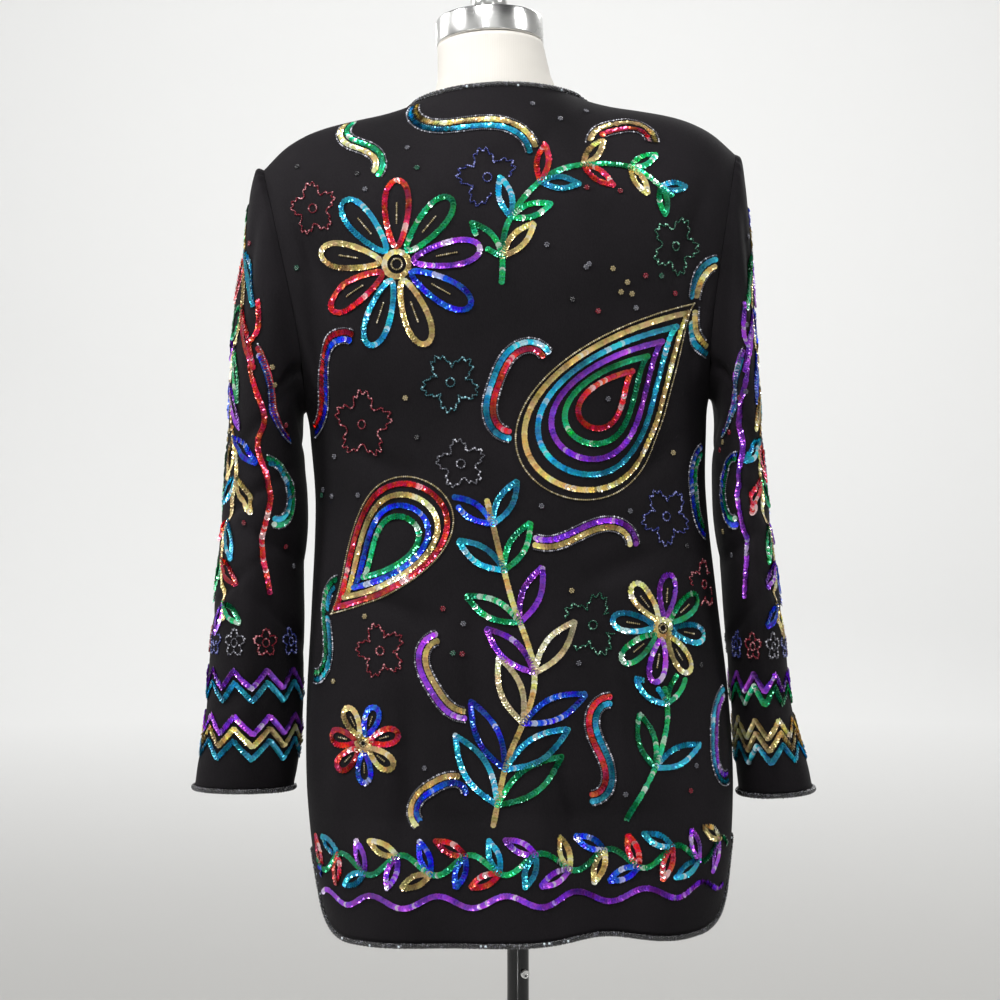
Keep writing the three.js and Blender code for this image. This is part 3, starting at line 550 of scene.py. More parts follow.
def clothDepth(side, x, z):
    # A superellipse across each level, rolled over the shoulder by a quarter of an ellipse
    power = jacket["squareness"]
    across = (1 - np.clip(np.abs(x) / lookUp(bodyLevels, "half", z), 0, 1) ** power) ** (1 / power)
    line = lookUp(shoulderLine, "z", np.abs(x), "x")
    drop = np.clip((line - z) / jacket["ridgeDrop"], 0, 1)
    depth = lookUp(bodyLevels, side, z) + foldDepth(side, x, z) + creaseDepth(side, x, z)
    return depth * across * np.sqrt(1 - (1 - drop) ** 2)


def clothPoint(side, x, z):
    # The depth laid off behind or before the side seams, which part below the vent's top by a cubic
    closed = np.clip((z - jacket["hem"]) / (jacket["ventTop"] - jacket["hem"]), 0, 1)
    apart = jacket["seamGap"] / 2 + jacket["ventSpread"] * (1 - closed**3)
    way = 1 if side == "back" else -1
    return lean(np.stack([x, way * (apart + clothDepth(side, x, z)), z + 0 * x], -1))


def clothNormal(side, x, z):
    # Slope of the square of the depth, which stays smooth up to the seams
    step = jacket["slopeStep"]
    square = lambda atX, atZ: clothDepth(side, atX, atZ) ** 2
    alongX = (square(x + step, z) - square(x - step, z)) / (2 * step)
    alongZ = (square(x, z + step) - square(x, z - step)) / (2 * step)
    way = 1 if side == "back" else -1
    out = np.stack([-alongX, 2 * way * clothDepth(side, x, z), -alongZ], -1)
    x, y, z = np.moveaxis(out, -1, 0)
    c, s = math.cos(jacket["leanAngle"]), math.sin(jacket["leanAngle"])
    return unit(np.stack([x * c + z * s, y, z * c - x * s], -1))


neckShare = jacket["neckHalf"] / jacket["shoulderHalf"]


def acrossAt(side, share, half):
    # A share of the half width; a front's first columns also step off the gap between the fronts
    if side == "back":
        return share * half
    return share * half + np.sign(share) * jacket["frontEdge"] * np.maximum(0, 1 - np.abs(share) / neckShare)


def topAcross(side, share):
    # Columns spaced evenly by angle round the neckline's oval
    start = 0 if side == "back" else math.asin(jacket["frontEdge"] / jacket["neckHalf"])
    angle = start + (math.pi / 2 - start) * np.minimum(1, np.abs(share) / neckShare)
    inside = np.sign(share) * jacket["neckHalf"] * np.sin(angle)
    return np.where(np.abs(share) >= neckShare, share * jacket["shoulderHalf"], inside)


def topEdge(side, x):
    # A parabola at the nape or a quarter ellipse in front, then the shoulder's line
    share = np.clip(x / jacket["neckHalf"], 0, 1)
    backLine = jacket["nape"] - (jacket["nape"] - jacket["neckPoint"]) * share**2
    frontLine = jacket["neckPoint"] - (jacket["neckPoint"] - jacket["frontNeck"]) * np.sqrt(1 - share**2)
    neckline = backLine if side == "back" else frontLine
    return np.where(x >= jacket["neckHalf"], lookUp(shoulderLine, "z", x, "x"), neckline)


def hemRise(side, share, x):
    # Quarter ellipses at the rounded corners, and bells where the folds draw the hem up
    power = jacket["squareness"]
    half, deep = lookUp(bodyLevels, "half", jacket["hem"]), lookUp(bodyLevels, side, jacket["hem"])
    fromSide = deep * (1 - np.abs(share) ** power) ** (1 / power) + half * (1 - np.abs(share))
    reach = np.maximum(0, 1 - fromSide / jacket["cornerAcross"])
    rise = jacket["cornerUp"] * (1 - np.sqrt(1 - reach**2))
    if side == "back":
        return rise + sum(lift * bell(x - place, width) for place, width, lift in hemLift)
    fromFront = np.clip(1 - (np.abs(x) - jacket["frontEdge"]) / jacket["frontCorner"], 0, 1)
    return rise + jacket["frontCorner"] * (1 - np.sqrt(1 - fromFront**2))


def panelPlaces(side, shares):
    # Rows of places from the hem to the underarm, then rows that fan out to the shoulder and neckline
    share = shares[None, :]
    lowRows = int(jacket["rows"] * jacket["lowShare"])
    level = np.linspace(jacket["hem"], jacket["underarm"], lowRows)[:, None]
    x0 = acrossAt(side, share, lookUp(bodyLevels, "half", level))
    fade = np.maximum(0, 1 - (level - jacket["hem"]) / jacket["hemFade"])
    z = level + hemRise(side, share, x0) * fade
    x = acrossAt(side, share, lookUp(bodyLevels, "half", z))
    up = ((1 - np.cos(np.linspace(0, math.pi, jacket["rows"] - lowRows + 1))) / 2)[1:, None]
    armZ = jacket["underarm"] + up * (jacket["tip"] - jacket["underarm"])
    plain = acrossAt(side, share, lookUp(armholeLine, side, armZ))
    top = topAcross(side, share)
    highX = plain + (top - acrossAt(side, share, jacket["shoulderHalf"])) * up**2
    highZ = jacket["underarm"] + up * (topEdge(side, np.abs(top)) - jacket["underarm"])
    return np.concatenate([x, highX]), np.concatenate([z + 0 * x, highZ])


def makePanel(name, side, shares, node):
    # The outer face, and the inner one a cloth's thickness in along the normals
    x, z = panelPlaces(side, shares)
    points, normals = clothPoint(side, x, z), clothNormal(side, x, z)
    piece = newShell(name, points, points - normals * jacket["cloth"], False, "crepe", [node])
    return {"piece": piece, "points": points, "normals": normals, "z": z}


halfShares = np.sin(np.linspace(0, 1, jacket["halfColumns"]) * math.pi / 2)
halfShares[0] = 1e-9
fullShares = np.concatenate([halfShares[::-1], -halfShares[1:]])
back = makePanel("backCloth", "back", fullShares, "back")
frontLeft = makePanel("frontLeftCloth", "front", halfShares, "front_left")
frontRight = makePanel("frontRightCloth", "front", -halfShares[::-1], "front_right")
print("panels made")

# Sleeves

sleeveForm = {
    "squareness": 2.15, "headRings": 7, "headFade": 1.5, "startHalf": 0.070, "columns": 120, "rowsEach": 8,
    # Small puckers in the head's seam: how deep, how many round it, how far round and down they reach
    "pucker": 0.0011, "puckers": 34, "puckerAround": 0.16, "puckerRows": 5,
}
sleeveColumns = ("outX", "outZ", "inX", "inZ", "half", "y")
sleeveRings = {
    "left": (
        (250.5, 1301, 205.5, 1068, 72, 0),
        (255.5, 1283, 208, 1064, 74, 0),
        (259, 1256, 208.5, 1058, 76, -1),
        (262.5, 1222, 208, 1052, 77, -2),
        (269.5, 1184, 207.5, 1045, 78, -3),
        (273.5, 1142, 207, 1037, 78, -4),
        (275.5, 1098, 206, 1027, 77, -5),
        (277.5, 1054, 205, 1012, 75, -6),
        (281, 1008, 203, 990, 73, -7),
        (285, 962, 202.5, 958, 71, -8),
        (289, 915, 204.5, 915, 69, -10),
        (293, 874, 206, 874, 66, -12),
        (297, 832, 207, 832, 62, -14),
        (299.5, 793, 207.5, 793, 58, -16),
        (303.5, 759, 209.5, 759, 54, -18),
        (309, 731, 213, 730, 51, -19),
        (312, 710, 217, 710, 49, -20),
    ),
    "right": (
        (-214, 1310, -185.5, 1081, 72, 0),
        (-217, 1291, -188.5, 1077, 75, 0),
        (-219.5, 1266, -190, 1071, 77, -1),
        (-222, 1234, -190.5, 1065, 79, -2),
        (-224.5, 1194, -190.5, 1058, 80, -3),
        (-226.5, 1150, -190, 1050, 81, -4),
        (-229, 1105, -189, 1040, 81, -5),
        (-232, 1060, -188, 1026, 80, -6),
        (-236.5, 1014, -187.5, 1004, 79, -7),
        (-241.5, 966, -189, 966, 77, -8),
        (-247.5, 920, -194, 920, 75, -10),
        (-253, 878, -198.5, 878, 73, -12),
        (-258, 836, -202.5, 836, 70, -14),
        (-261.5, 797, -206, 797, 67, -16),
        (-270, 760, -209, 758, 63, -18),
        (-279, 732, -211.5, 728, 59, -19),
        (-284, 709, -214, 705, 56, -20),
    ),
}
millimetre = 0.001
# Folds across a sleeve: way round (0 to 1 from the outer side through the back), level, height,
# width as a share of the way round, and depth
sleeveFolds = (
    (0.13, 1.205, 0.062, 0.030, -0.006),
    (0.24, 0.900, 0.150, 0.035, 0.004),
    (0.40, 0.930, 0.022, 0.090, -0.004),
    (0.62, 0.905, 0.020, 0.100, -0.005),
    (0.84, 1.190, 0.060, 0.035, -0.005),
)
# Softer creases: the same columns, and how far the crease climbs in a whole turn
sleeveCreases = (
    (0.20, 0.985, 0.007, 0.16, -0.0045, 0.16),
    (0.30, 0.945, 0.007, 0.13, -0.0048, -0.12),
    (0.14, 0.900, 0.006, 0.12, -0.0032, 0.22),
    (0.36, 0.870, 0.007, 0.12, -0.0038, -0.20),
    (0.26, 1.060, 0.008, 0.12, -0.0035, 0.26),
    (0.38, 1.110, 0.008, 0.10, -0.0048, 0.30),
    (0.70, 0.960, 0.007, 0.14, -0.0045, 0.18),
    (0.62, 1.020, 0.007, 0.12, -0.0042, -0.22),
    (0.80, 0.890, 0.006, 0.12, -0.0032, -0.16),
    (0.22, 0.800, 0.010, 0.10, -0.0026, 0.14),
)


def signedPower(values, exponent):
    return np.sign(values) * np.abs(values) ** exponent


def ringPoints(ring, turn):
    # A superellipse through the ring's outer and inner points, with its own half depth
    exponent = 2 / sleeveForm["squareness"]
    out = signedPower(np.cos(turn * 2 * math.pi), exponent)
    aside = signedPower(np.sin(turn * 2 * math.pi), exponent)
    x = (ring["outX"] + ring["inX"]) / 2 + (ring["outX"] - ring["inX"]) / 2 * out
    z = (ring["outZ"] + ring["inZ"]) / 2 + (ring["outZ"] - ring["inZ"]) / 2 * out
    return np.stack([x, ring["y"] + ring["half"] * aside, z], -1)


def armholeRing(hand, turn):
    # The panels' armhole edges, stepped off by the seam's gap
    z = jacket["underarm"] + (jacket["tip"] - jacket["underarm"]) * (1 + np.cos(turn * 2 * math.pi)) / 2
    points, normals = [], []
    for side in ("back", "front"):
        x = hand * lookUp(armholeLine, side, z)
        points.append(clothPoint(side, x, z))
        normals.append(clothNormal(side, x, z))
    behind = (turn <= 0.5)[:, None]
    ring = np.where(behind, points[0], points[1])
    along = np.roll(ring, -1, 0) - np.roll(ring, 1, 0)
    away = unit(np.cross(along, np.where(behind, normals[0], normals[1])))
    away *= np.where(away[:, :1] * hand + away[:, 2:] < 0, -1, 1)
    return ring + away * jacket["seamGap"]


def smoothRows(rows, each):
    # Rows carried on between the given ones by cubics through them
    ghost = np.concatenate([2 * rows[:1] - rows[1:2], rows, 2 * rows[-1:] - rows[-2:-1]])
    t = (np.arange(each) / each)[None, :, None, None]
    a, b, c, d = (ghost[i : i + len(rows) - 1][:, None] for i in range(4))
    made = 0.5 * (2 * b + (c - a) * t + (2 * a - 5 * b + 4 * c - d) * t**2 + (3 * b - a - 3 * c + d) * t**3)
    return np.concatenate([made.reshape(-1, *rows.shape[1:]), rows[-1:]])


def gridNormals(rows):
    # Cross product of the way round and the way up at each place
    around = np.roll(rows, -1, 1) - np.roll(rows, 1, 1)
    return unit(np.cross(around, np.gradient(rows, axis=0)))


def makeSleeve(name, which, node):
    # Superellipse rings that start on the armhole, with bells for the folds, creases and head's puckers
    hand = 1 if which == "left" else -1
    turn = np.arange(sleeveForm["columns"]) / sleeveForm["columns"]
    armhole = armholeRing(hand, turn)
    tip, underarm = armhole[0], armhole[len(armhole) // 2]
    first = (tip[0], tip[2], underarm[0], underarm[2], sleeveForm["startHalf"], 0)
    start = ringPoints(dict(zip(sleeveColumns, first)), turn)
    rows = [armhole]
    for i, values in enumerate(sleeveRings[which]):
        ring = dict(zip(sleeveColumns, np.array(values) * millimetre))
        stay = max(0, 1 - (i + 1) / sleeveForm["headRings"]) ** sleeveForm["headFade"]
        points = ringPoints(ring, turn) + (armhole - start) * stay
        middle = points.copy()
        middle[:, 0] = (ring["outX"] + ring["inX"]) / 2
        middle[:, 1] = ring["y"]
        deep = np.zeros_like(turn)
        for at, z, tall, wide, depth in sleeveFolds:
            around = np.abs(turn - at)
            deep += depth * bell(np.minimum(around, 1 - around), wide) * bell(points[:, 2] - z, tall)
        rows.append(points + unit(points - middle) * deep[:, None])
    rows = smoothRows(np.array(rows), sleeveForm["rowsEach"])[::-1]
    if hand < 0:
        rows = np.roll(rows[:, ::-1], 1, 1)
        turn = np.roll(turn[::-1], 1)
    normals = gridNormals(rows)
    z = rows[..., 2]
    for at, level, tall, wide, depth, climb in sleeveCreases:
        around = (turn - at + 0.5) % 1 - 0.5
        deep = depth * bell(around, wide) * bell(z - level - climb * around, tall)
        rows = rows + normals * deep[..., None]
    fromTop = np.arange(len(rows))[:, None] - len(rows) + sleeveForm["puckerRows"]
    near = bell((turn + 0.5) % 1 - 0.5, sleeveForm["puckerAround"]) * bell(fromTop, sleeveForm["puckerRows"])
    pucker = sleeveForm["pucker"] * np.sin(turn * 2 * math.pi * sleeveForm["puckers"]) * near
    rows = rows + normals * pucker[..., None]
    normals = gridNormals(rows)
    piece = newShell(name, rows, rows - normals * jacket["cloth"], True, "crepe", [node])
    return {"piece": piece, "points": rows, "normals": normals, "turn": turn, "hand": hand}


sleeveLeft = makeSleeve("sleeveLeftCloth", "left", "sleeve_left")
sleeveRight = makeSleeve("sleeveRightCloth", "right", "sleeve_right")
print("sleeves made")

# Beads, sequins and the rows that they are sewn in

golden = (1 + math.sqrt(5)) / 2


def hullFaces(points):
    # Every three corners that are all one edge apart, turned to face outwards
    gaps = np.linalg.norm(points[:, None] - points[None], axis=-1)
    near = (gaps > 0) & (gaps < gaps[gaps > 0].min() * 1.01)
    corners = range(len(points))
    faces = [(a, b, c) for a in corners for b in corners for c in corners
             if a < b < c and near[a, b] and near[b, c] and near[a, c]]
    turned = []
    for a, b, c in faces:
        outward = np.dot(np.cross(points[b] - points[a], points[c] - points[a]), points[a]) > 0
        turned.append((a, b, c) if outward else (a, c, b))
    return np.array(turned)


signs = (-1, 1)
roundPoints = unit(np.array(
    [(x, y * golden, 0) for x in signs for y in signs]
    + [(0, x, y * golden) for x in signs for y in signs]
    + [(x * golden, 0, y) for x in signs for y in signs]
))
seedPoints = np.array([(1, 0, 0), (0, 1, 0), (-1, 0, 0), (0, -1, 0), (0, 0, 1), (0, 0, -1)], float)
roundBead = {"points": roundPoints, "faces": hullFaces(roundPoints)}
seedBead = {"points": seedPoints, "faces": hullFaces(seedPoints)}
sequin = {
    "radius": 0.0029, "smallest": 0.94, "sizes": 0.10, "sides": 8, "cup": 0.30, "rim": 0.10,
    "step": 0.0027, "lift": 0.0011, "shingle": 0.34, "nod": 0.6, "roll": 0.5, "wobble": 0.20,
    # Light along a row: stretches from dim to bright, each sequin a little off, and whiter glints
    "stretch": 0.020, "dimmest": 0.42, "brightest": 1.55, "contrast": 1.5,
    "leastShade": 0.85, "shades": 0.30, "glintFrom": 0.62, "glintShare": 0.30, "glintWhite": 0.65,
}
seed = {
    "radius": 0.00105, "smallest": 0.85, "sizes": 0.3, "step": 0.0019, "lift": 0.0009, "contour": 0.0069,
    # Painted glints: the share of beads coloured paler, and how much of their hue and of grey the paler
    # colour keeps; then a random shade for each bead
    "paintedGlint": 0.26, "paintedGlintHue": 0.45, "paintedGlintGrey": 0.25, "leastShade": 0.8, "shades": 0.4,
}
dot = {"radius": 0.0010, "ring": 0.0018, "lift": 0.0009, "beadsRound": 6}


def cupTemplate():
    # Eight flat facets from a rim down to a centre, closed below by eight more
    angle = np.arange(sequin["sides"]) * 2 * math.pi / sequin["sides"]
    rim = np.stack([np.cos(angle), np.sin(angle), np.zeros_like(angle)], -1)
    middles = [[0, 0, -sequin["cup"]], [0, 0, -sequin["cup"] - sequin["rim"]]]
    corner = np.arange(sequin["sides"])
    after = (corner + 1) % sequin["sides"]
    front = np.stack([corner, after, np.full_like(corner, sequin["sides"])], -1)
    behind = np.stack([after, corner, np.full_like(corner, sequin["sides"] + 1)], -1)
    return {"points": np.concatenate([rim, middles]), "faces": np.concatenate([front, behind])}


cup = cupTemplate()
colours = {
    "gold": (1.0, 0.78, 0.34), "cream": (0.95, 0.84, 0.55), "turquoise": (0.05, 0.60, 0.88),
    "blue": (0.03, 0.13, 0.95), "green": (0.02, 0.54, 0.22), "red": (0.95, 0.05, 0.08),
    "purple": (0.46, 0.09, 0.92), "glintSilver": (0.72, 0.80, 0.86), "jet": (0.012, 0.012, 0.014),
    "paleGold": (0.34, 0.27, 0.13),
    "darkRed": (0.20, 0.008, 0.02), "darkGreen": (0.01, 0.09, 0.05), "darkBlue": (0.02, 0.03, 0.18),
    "smoke": (0.10, 0.10, 0.12), "darkTeal": (0.02, 0.10, 0.12),
}
seeded = np.random.default_rng(7)


def sewOn(name, template, places, along, normals, sizes, tints, slot, smooth, replaced=()):
    # The template's points turned into each place's frame: along the row, across it and off the cloth
    across = unit(np.cross(normals, along))
    frames = np.stack([np.cross(across, normals), across, normals], -1)
    turned = np.einsum("nij,kj->nki", frames, template["points"])
    points = places[:, None] + turned * sizes[:, None, None]
    count = len(template["points"])
    faces = template["faces"][None] + (np.arange(len(places)) * count)[:, None, None]
    faces = faces.reshape(-1, template["faces"].shape[1])
    tint = np.repeat(np.concatenate([tints, np.ones((len(tints), 1))], 1), count, 0)
    newPiece(name, points.reshape(-1, 3), [faces], slot, replaced, tint, smooth)


def evenly(values, step, *others):
    # Places one step apart along a line, and the other arrays at the same places
    lengths = np.concatenate([[0], np.cumsum(np.linalg.norm(np.diff(values, axis=0), axis=1))])
    at = np.linspace(0, lengths[-1], max(2, int(round(lengths[-1] / step)) + 1))
    pick = lambda array: np.stack([np.interp(at, lengths, column) for column in array.T], -1)
    return [pick(array) for array in (values, *others)]


# Bead rope round the open edges: a core tube and strands of beads wound round it

rope = {
    "aside": 0.0018, "up": 0.0008, "strands": 5, "ring": 0.0016, "bead": 0.00125, "core": 0.0017,
    "step": 0.0022, "twist": 0.55, "ventTop": 0.6585,
    "coreSides": 8, "smallest": 0.9, "sizes": 0.2, "smokeShare": 0.14, "glintSilverShare": 0.012,
}


def ropeTints(count):
    # Mostly jet beads, some smoke ones, and a rare silver one whose pale colour is a painted glint
    shade = seeded.random((count, 1))
    tints = np.where(shade < rope["smokeShare"], colours["smoke"], colours["jet"])
    return np.where(shade > 1 - rope["glintSilverShare"], colours["glintSilver"], tints)


def makeRope(name, node, points, normals, insides):
    # A round tube just off the edge, and beads on helices round it, one for each strand
    points, normals, insides = evenly(points, rope["step"], normals, insides)
    along = unit(np.gradient(points, axis=0))
    away = unit(np.cross(along, normals))
    away *= np.where(np.sum(away * (points - insides), -1, keepdims=True) < 0, -1, 1)
    up = unit(np.cross(along, away))
    up *= np.where(np.sum(up * normals, -1, keepdims=True) < 0, -1, 1)
    centre = points + away * rope["aside"] + up * rope["up"]
    angle = (np.arange(rope["coreSides"]) * 2 * math.pi / rope["coreSides"])[None, :, None]
    rings = centre[:, None] + rope["core"] * (np.cos(angle) * away[:, None] + np.sin(angle) * up[:, None])
    core = newLoft(name + "Core", rings, "bead_edging", [node])
    giveTint(core.data, np.tile((*colours["jet"], 1), len(core.data.vertices)))
    strand = np.arange(rope["strands"])[None] * 2 * math.pi / rope["strands"]
    turn = (np.arange(len(centre))[:, None] * rope["twist"] + strand)[..., None]
    out = np.cos(turn) * away[:, None] + np.sin(turn) * up[:, None]
    places = (centre[:, None] + out * rope["ring"]).reshape(-1, 3)
    lines = np.repeat(along, rope["strands"], 0)
    sizes = rope["bead"] * (rope["smallest"] + rope["sizes"] * seeded.random(len(places)))
    tints = ropeTints(len(places))
    normals = unit(out.reshape(-1, 3))
    sewOn(name + "Beads", roundBead, places, lines, normals, sizes, tints, "bead_edging", True, [node])


def edgeOf(cloth, rows, columns, up=0, inward=0):
    # Points and normals along an edge, and the points one step further into the cloth
    rows, columns = np.broadcast_arrays(rows, columns)
    points = cloth["points"]
    return points[rows, columns], cloth["normals"][rows, columns], points[rows + up, columns + inward]


def ventEdge(panel, column, inward, upwards=True):
    # The side edge from the hem to the vent's top
    rows = np.nonzero(panel["z"][:, column] < rope["ventTop"])[0][1:]
    rows = rows[rows < jacket["rows"] // 2]
    return edgeOf(panel, rows if upwards else rows[::-1], column, 0, inward)


def makeRopes():
    # Each rope's name and node, and the edges that it runs along, one after another
    last, top = jacket["halfColumns"] - 1, jacket["rows"] - 1
    neck = int(np.argmin(np.abs(halfShares - neckShare)))
    across, down = np.arange(last + 1), np.arange(top - 1, 0, -1)
    cuffRound = np.append(np.arange(sleeveForm["columns"]), 0)
    ropes = (
        ("backRope", "edging_back", ventEdge(back, 0, 1, False),
         edgeOf(back, 0, np.arange(2 * last + 1), 1), ventEdge(back, 2 * last, -1)),
        ("frontLeftRope", "edging_front_left", edgeOf(frontLeft, down, 0, 0, 1),
         edgeOf(frontLeft, 0, across, 1), ventEdge(frontLeft, last, -1)),
        ("frontRightRope", "edging_front_right", edgeOf(frontRight, down, last, 0, -1),
         edgeOf(frontRight, 0, across[::-1], 1), ventEdge(frontRight, 0, 1)),
        ("neckRope", "neck_edging", edgeOf(frontLeft, top, across[:neck], -1),
         edgeOf(back, top, np.arange(last - neck, last + neck + 1), -1),
         edgeOf(frontRight, top, across[-neck:], -1)),
        ("cuffLeftRope", "cuff_edging_left", edgeOf(sleeveLeft, 0, cuffRound, 1)),
        ("cuffRightRope", "cuff_edging_right", edgeOf(sleeveRight, 0, cuffRound, 1)),
    )
    for name, node, *edges in ropes:
        makeRope(name, node, *(np.concatenate(arrays) for arrays in zip(*edges)))


makeRopes()
print("ropes made")

# Where the pattern's flat places lie on the cloth

flatGrid = {"low": 0.574, "high": 1.39, "levels": 90, "shares": 260, "reach": 0.34, "lengths": 180}


def flatMap(side):
    # For each level, the distance across that each length along the cloth from the centre reaches
    levels = np.linspace(flatGrid["low"], flatGrid["high"], flatGrid["levels"])
    share = np.sin(np.linspace(0, 1, flatGrid["shares"]) * math.pi / 2)
    x = share[None] * lookUp(bodyLevels, "half", levels)[:, None]
    y = clothDepth(side, x, levels[:, None] + 0 * x)
    steps = np.hypot(np.diff(x, axis=1), np.diff(y, axis=1))
    arcs = np.concatenate([np.zeros((len(levels), 1)), np.cumsum(steps, 1)], 1)
    lengths = np.linspace(0, flatGrid["reach"], flatGrid["lengths"])
    return levels, lengths, np.array([np.interp(lengths, arc, row) for arc, row in zip(arcs, x)])


flatMaps = {side: flatMap(side) for side in ("back", "front")}


def between(table, row, column):
    # Value of a table at fractional rows and columns, straight between its entries
    row = np.clip(row, 0, table.shape[0] - 1.001)
    column = np.clip(column, 0, table.shape[1] - 1.001)
    r, c = row.astype(int), column.astype(int)
    down, aside = row - r, column - c
    if table.ndim == 3:
        down, aside = down[:, None], aside[:, None]
    low = table[r, c] * (1 - aside) + table[r, c + 1] * aside
    high = table[r + 1, c] * (1 - aside) + table[r + 1, c + 1] * aside
    return low * (1 - down) + high * down


sewing = {
    "panelMargin": 0.006, "sleeveMargin": 0.007, "seamMargin": 0.0048, "sideShare": 0.985,
    "rowGap": 0.0031, "lineStep": 0.0015, "shortest": 4, "room": 0.0062, "dotRoom": 0.009,
}


def onPanel(side, flat):
    # Points, normals and a mask of what lies on the panel, for places (length across, level)
    levels, lengths, table = flatMaps[side]
    across, z = flat[:, 0], flat[:, 1]
    row = (z - levels[0]) / (levels[1] - levels[0])
    x = np.sign(across) * between(table, row, np.abs(across) / (lengths[1] - lengths[0]))
    half = lookUp(bodyLevels, "half", z)
    edge = np.where(z > jacket["underarm"], lookUp(armholeLine, side, z), half * sewing["sideShare"])
    low = jacket["hem"] + hemRise(side, np.clip(x / half, -1, 1), x)
    margin = sewing["panelMargin"]
    inside = (np.abs(x) < edge - sewing["seamMargin"]) & (z > low + margin)
    inside &= z < topEdge(side, np.abs(x)) - margin
    if side == "front":
        inside &= np.abs(x) > jacket["frontEdge"] + margin
    return clothPoint(side, x, z), clothNormal(side, x, z), inside


def measureSleeve(sleeve):
    # Length along the outer line from the cuff for each row, and each row's way round
    rows = sleeve["points"]
    outer = rows[:, int(np.argmin(np.abs(sleeve["turn"])))]
    closed = np.concatenate([rows, rows[:, :1]], 1)
    steps = np.linalg.norm(np.diff(outer, axis=0), axis=1)
    sleeve["along"] = np.concatenate([[0], np.cumsum(steps)])
    sleeve["around"] = np.linalg.norm(np.diff(closed, axis=1), axis=2).sum(1)
    sleeve["closedPoints"] = closed
    sleeve["closedNormals"] = np.concatenate([sleeve["normals"], sleeve["normals"][:, :1]], 1)


measureSleeve(sleeveLeft)
measureSleeve(sleeveRight)


def onSleeve(sleeve, flat):
    # Places given as (length round from the outer line towards the back, length up from the cuff)
    row = np.interp(flat[:, 1], sleeve["along"], np.arange(len(sleeve["along"])))
    turn = flat[:, 0] / np.interp(row, np.arange(len(sleeve["around"])), sleeve["around"])
    count = sleeveForm["columns"]
    column = (turn * sleeve["hand"] * count) % count
    points = between(sleeve["closedPoints"], row, column)
    normals = unit(between(sleeve["closedNormals"], row, column))
    margin = sewing["sleeveMargin"]
    return points, normals, (flat[:, 1] > margin) & (flat[:, 1] < sleeve["along"][-1] - margin)


# Lines of the decoration, each an array of flat places

scrollForm = {"half": 60, "power": 2}
waveForm = {"phase": 0.6, "least": 0.7, "spread": 0.3, "beat": 5, "beatShift": 40}
paisleyForm = {
    "width": 0.40, "thinning": 1.3, "hook": 0.38, "hookPower": 2.2, "aside": 0.05,
    "down": 0.42, "droop": 0.10, "droopPower": 4,
}
blossomForm = {"lobes": 5, "lobeDepth": 0.45, "crinkle": 0.09, "crinkles": 25, "eye": 0.004, "points": 150}
flowerForm = {"fullness": 0.86, "turn": 0.2, "veinFrom": 0.35, "veinTo": 0.65, "ring": 0.72, "eye": 0.32}
vineForm = {"swing": 0.009, "leaf": 0.030, "spread": 0.85, "secondSwing": 0.6, "secondDown": 0.033}
nestForm = {"outline": 1.11, "shrink": 0.17}
leafForm = {"width": 0.30, "firstAt": 0.7}


def placed(x, y, centre, angle=0.0):
    # Turned by the angle and moved to the centre
    c, s = math.cos(angle), math.sin(angle)
    return np.array(centre) + np.stack([x * c - y * s, x * s + y * c], -1)


def curve(points):
    # A smooth line of about sixty places through the given ones
    p = np.array(points, float)
    return smoothRows(p[:, None, :], 60 // len(p))[:, 0]


def scroll(middle, degrees, length, bend, mirrored):
    # Heading turns ever faster towards both ends: one way for a mirrored scroll, else back again
    s = np.linspace(-1, 1, 2 * scrollForm["half"] + 1)
    turned = bend * np.abs(s) ** scrollForm["power"] * (np.sign(s) if mirrored else 1)
    heading = math.radians(degrees) + turned
    line = np.cumsum(np.stack([np.cos(heading), np.sin(heading)], -1) * length / len(s), 0)
    return line - line[scrollForm["half"]] + np.array(middle)


def wave(start, angle, length, waves, swing):
    # A sine along a straight line, its swing growing and fading
    form, t = waveForm, np.linspace(0, 1, 90)
    size = form["least"] + form["spread"] * np.sin(t * form["beat"] + length * form["beatShift"])
    side = swing * np.sin(t * waves * 2 * math.pi + form["phase"]) * size
    return placed(t * length, side, start, angle)


def circle(centre, radius, count):
    # Cosine and sine of an even turn
    angle = np.linspace(0, 1, count) * 2 * math.pi
    return placed(radius * np.cos(angle), radius * np.sin(angle), centre)


def blossom(centre, radius, turn):
    # Radius follows the absolute cosine of half the lobes' angle, with a fine crinkle
    form = blossomForm
    angle = np.linspace(0, 2 * math.pi, form["points"])
    lobe = np.abs(np.cos(form["lobes"] / 2 * (angle - turn)))
    reach = radius * (1 - form["lobeDepth"] + form["lobeDepth"] * lobe)
    reach = reach * (1 + form["crinkle"] * np.sin(angle * form["crinkles"]))
    return placed(reach * np.cos(angle), reach * np.sin(angle), centre)


def paisley(centre, size, turn, hand):
    # A round drop, its width a sine that fades at the tip, the tip bent over by a power of its height
    form, t = paisleyForm, np.linspace(0, 2 * math.pi, 160)
    tall = (1 + np.cos(t)) / 2
    drop = form["width"] * np.sin(t) * np.sin(t / 2) ** form["thinning"]
    wide = drop + form["hook"] * tall ** form["hookPower"] - form["aside"]
    high = tall - form["down"] - form["droop"] * tall ** form["droopPower"]
    return placed(size * hand * wide, size * high, centre, turn)


def leaf(base, length, angle):
    # Two bowed sides from a base to a point and back
    t = np.linspace(0, 1, 40)
    side = np.sin(t * math.pi) * length * leafForm["width"] * 0.5
    return placed(np.concatenate([t, t[::-1]]) * length, np.concatenate([side, -side[::-1]]), base, angle)


def petal(base, length, angle, width):
    # A loop whose width is a sine of the way round, fuller towards the tip
    t = np.linspace(0, 2 * math.pi, 48)
    out = (1 - np.cos(t)) / 2
    return placed(out * length, width / 2 * np.sin(t) * (0.5 + 0.5 * out), base, angle)


def beside(line, offset):
    # The line moved sideways, square to its own direction
    along = unit(np.gradient(line, axis=0))
    return line + offset * np.stack([-along[:, 1], along[:, 0]], -1)


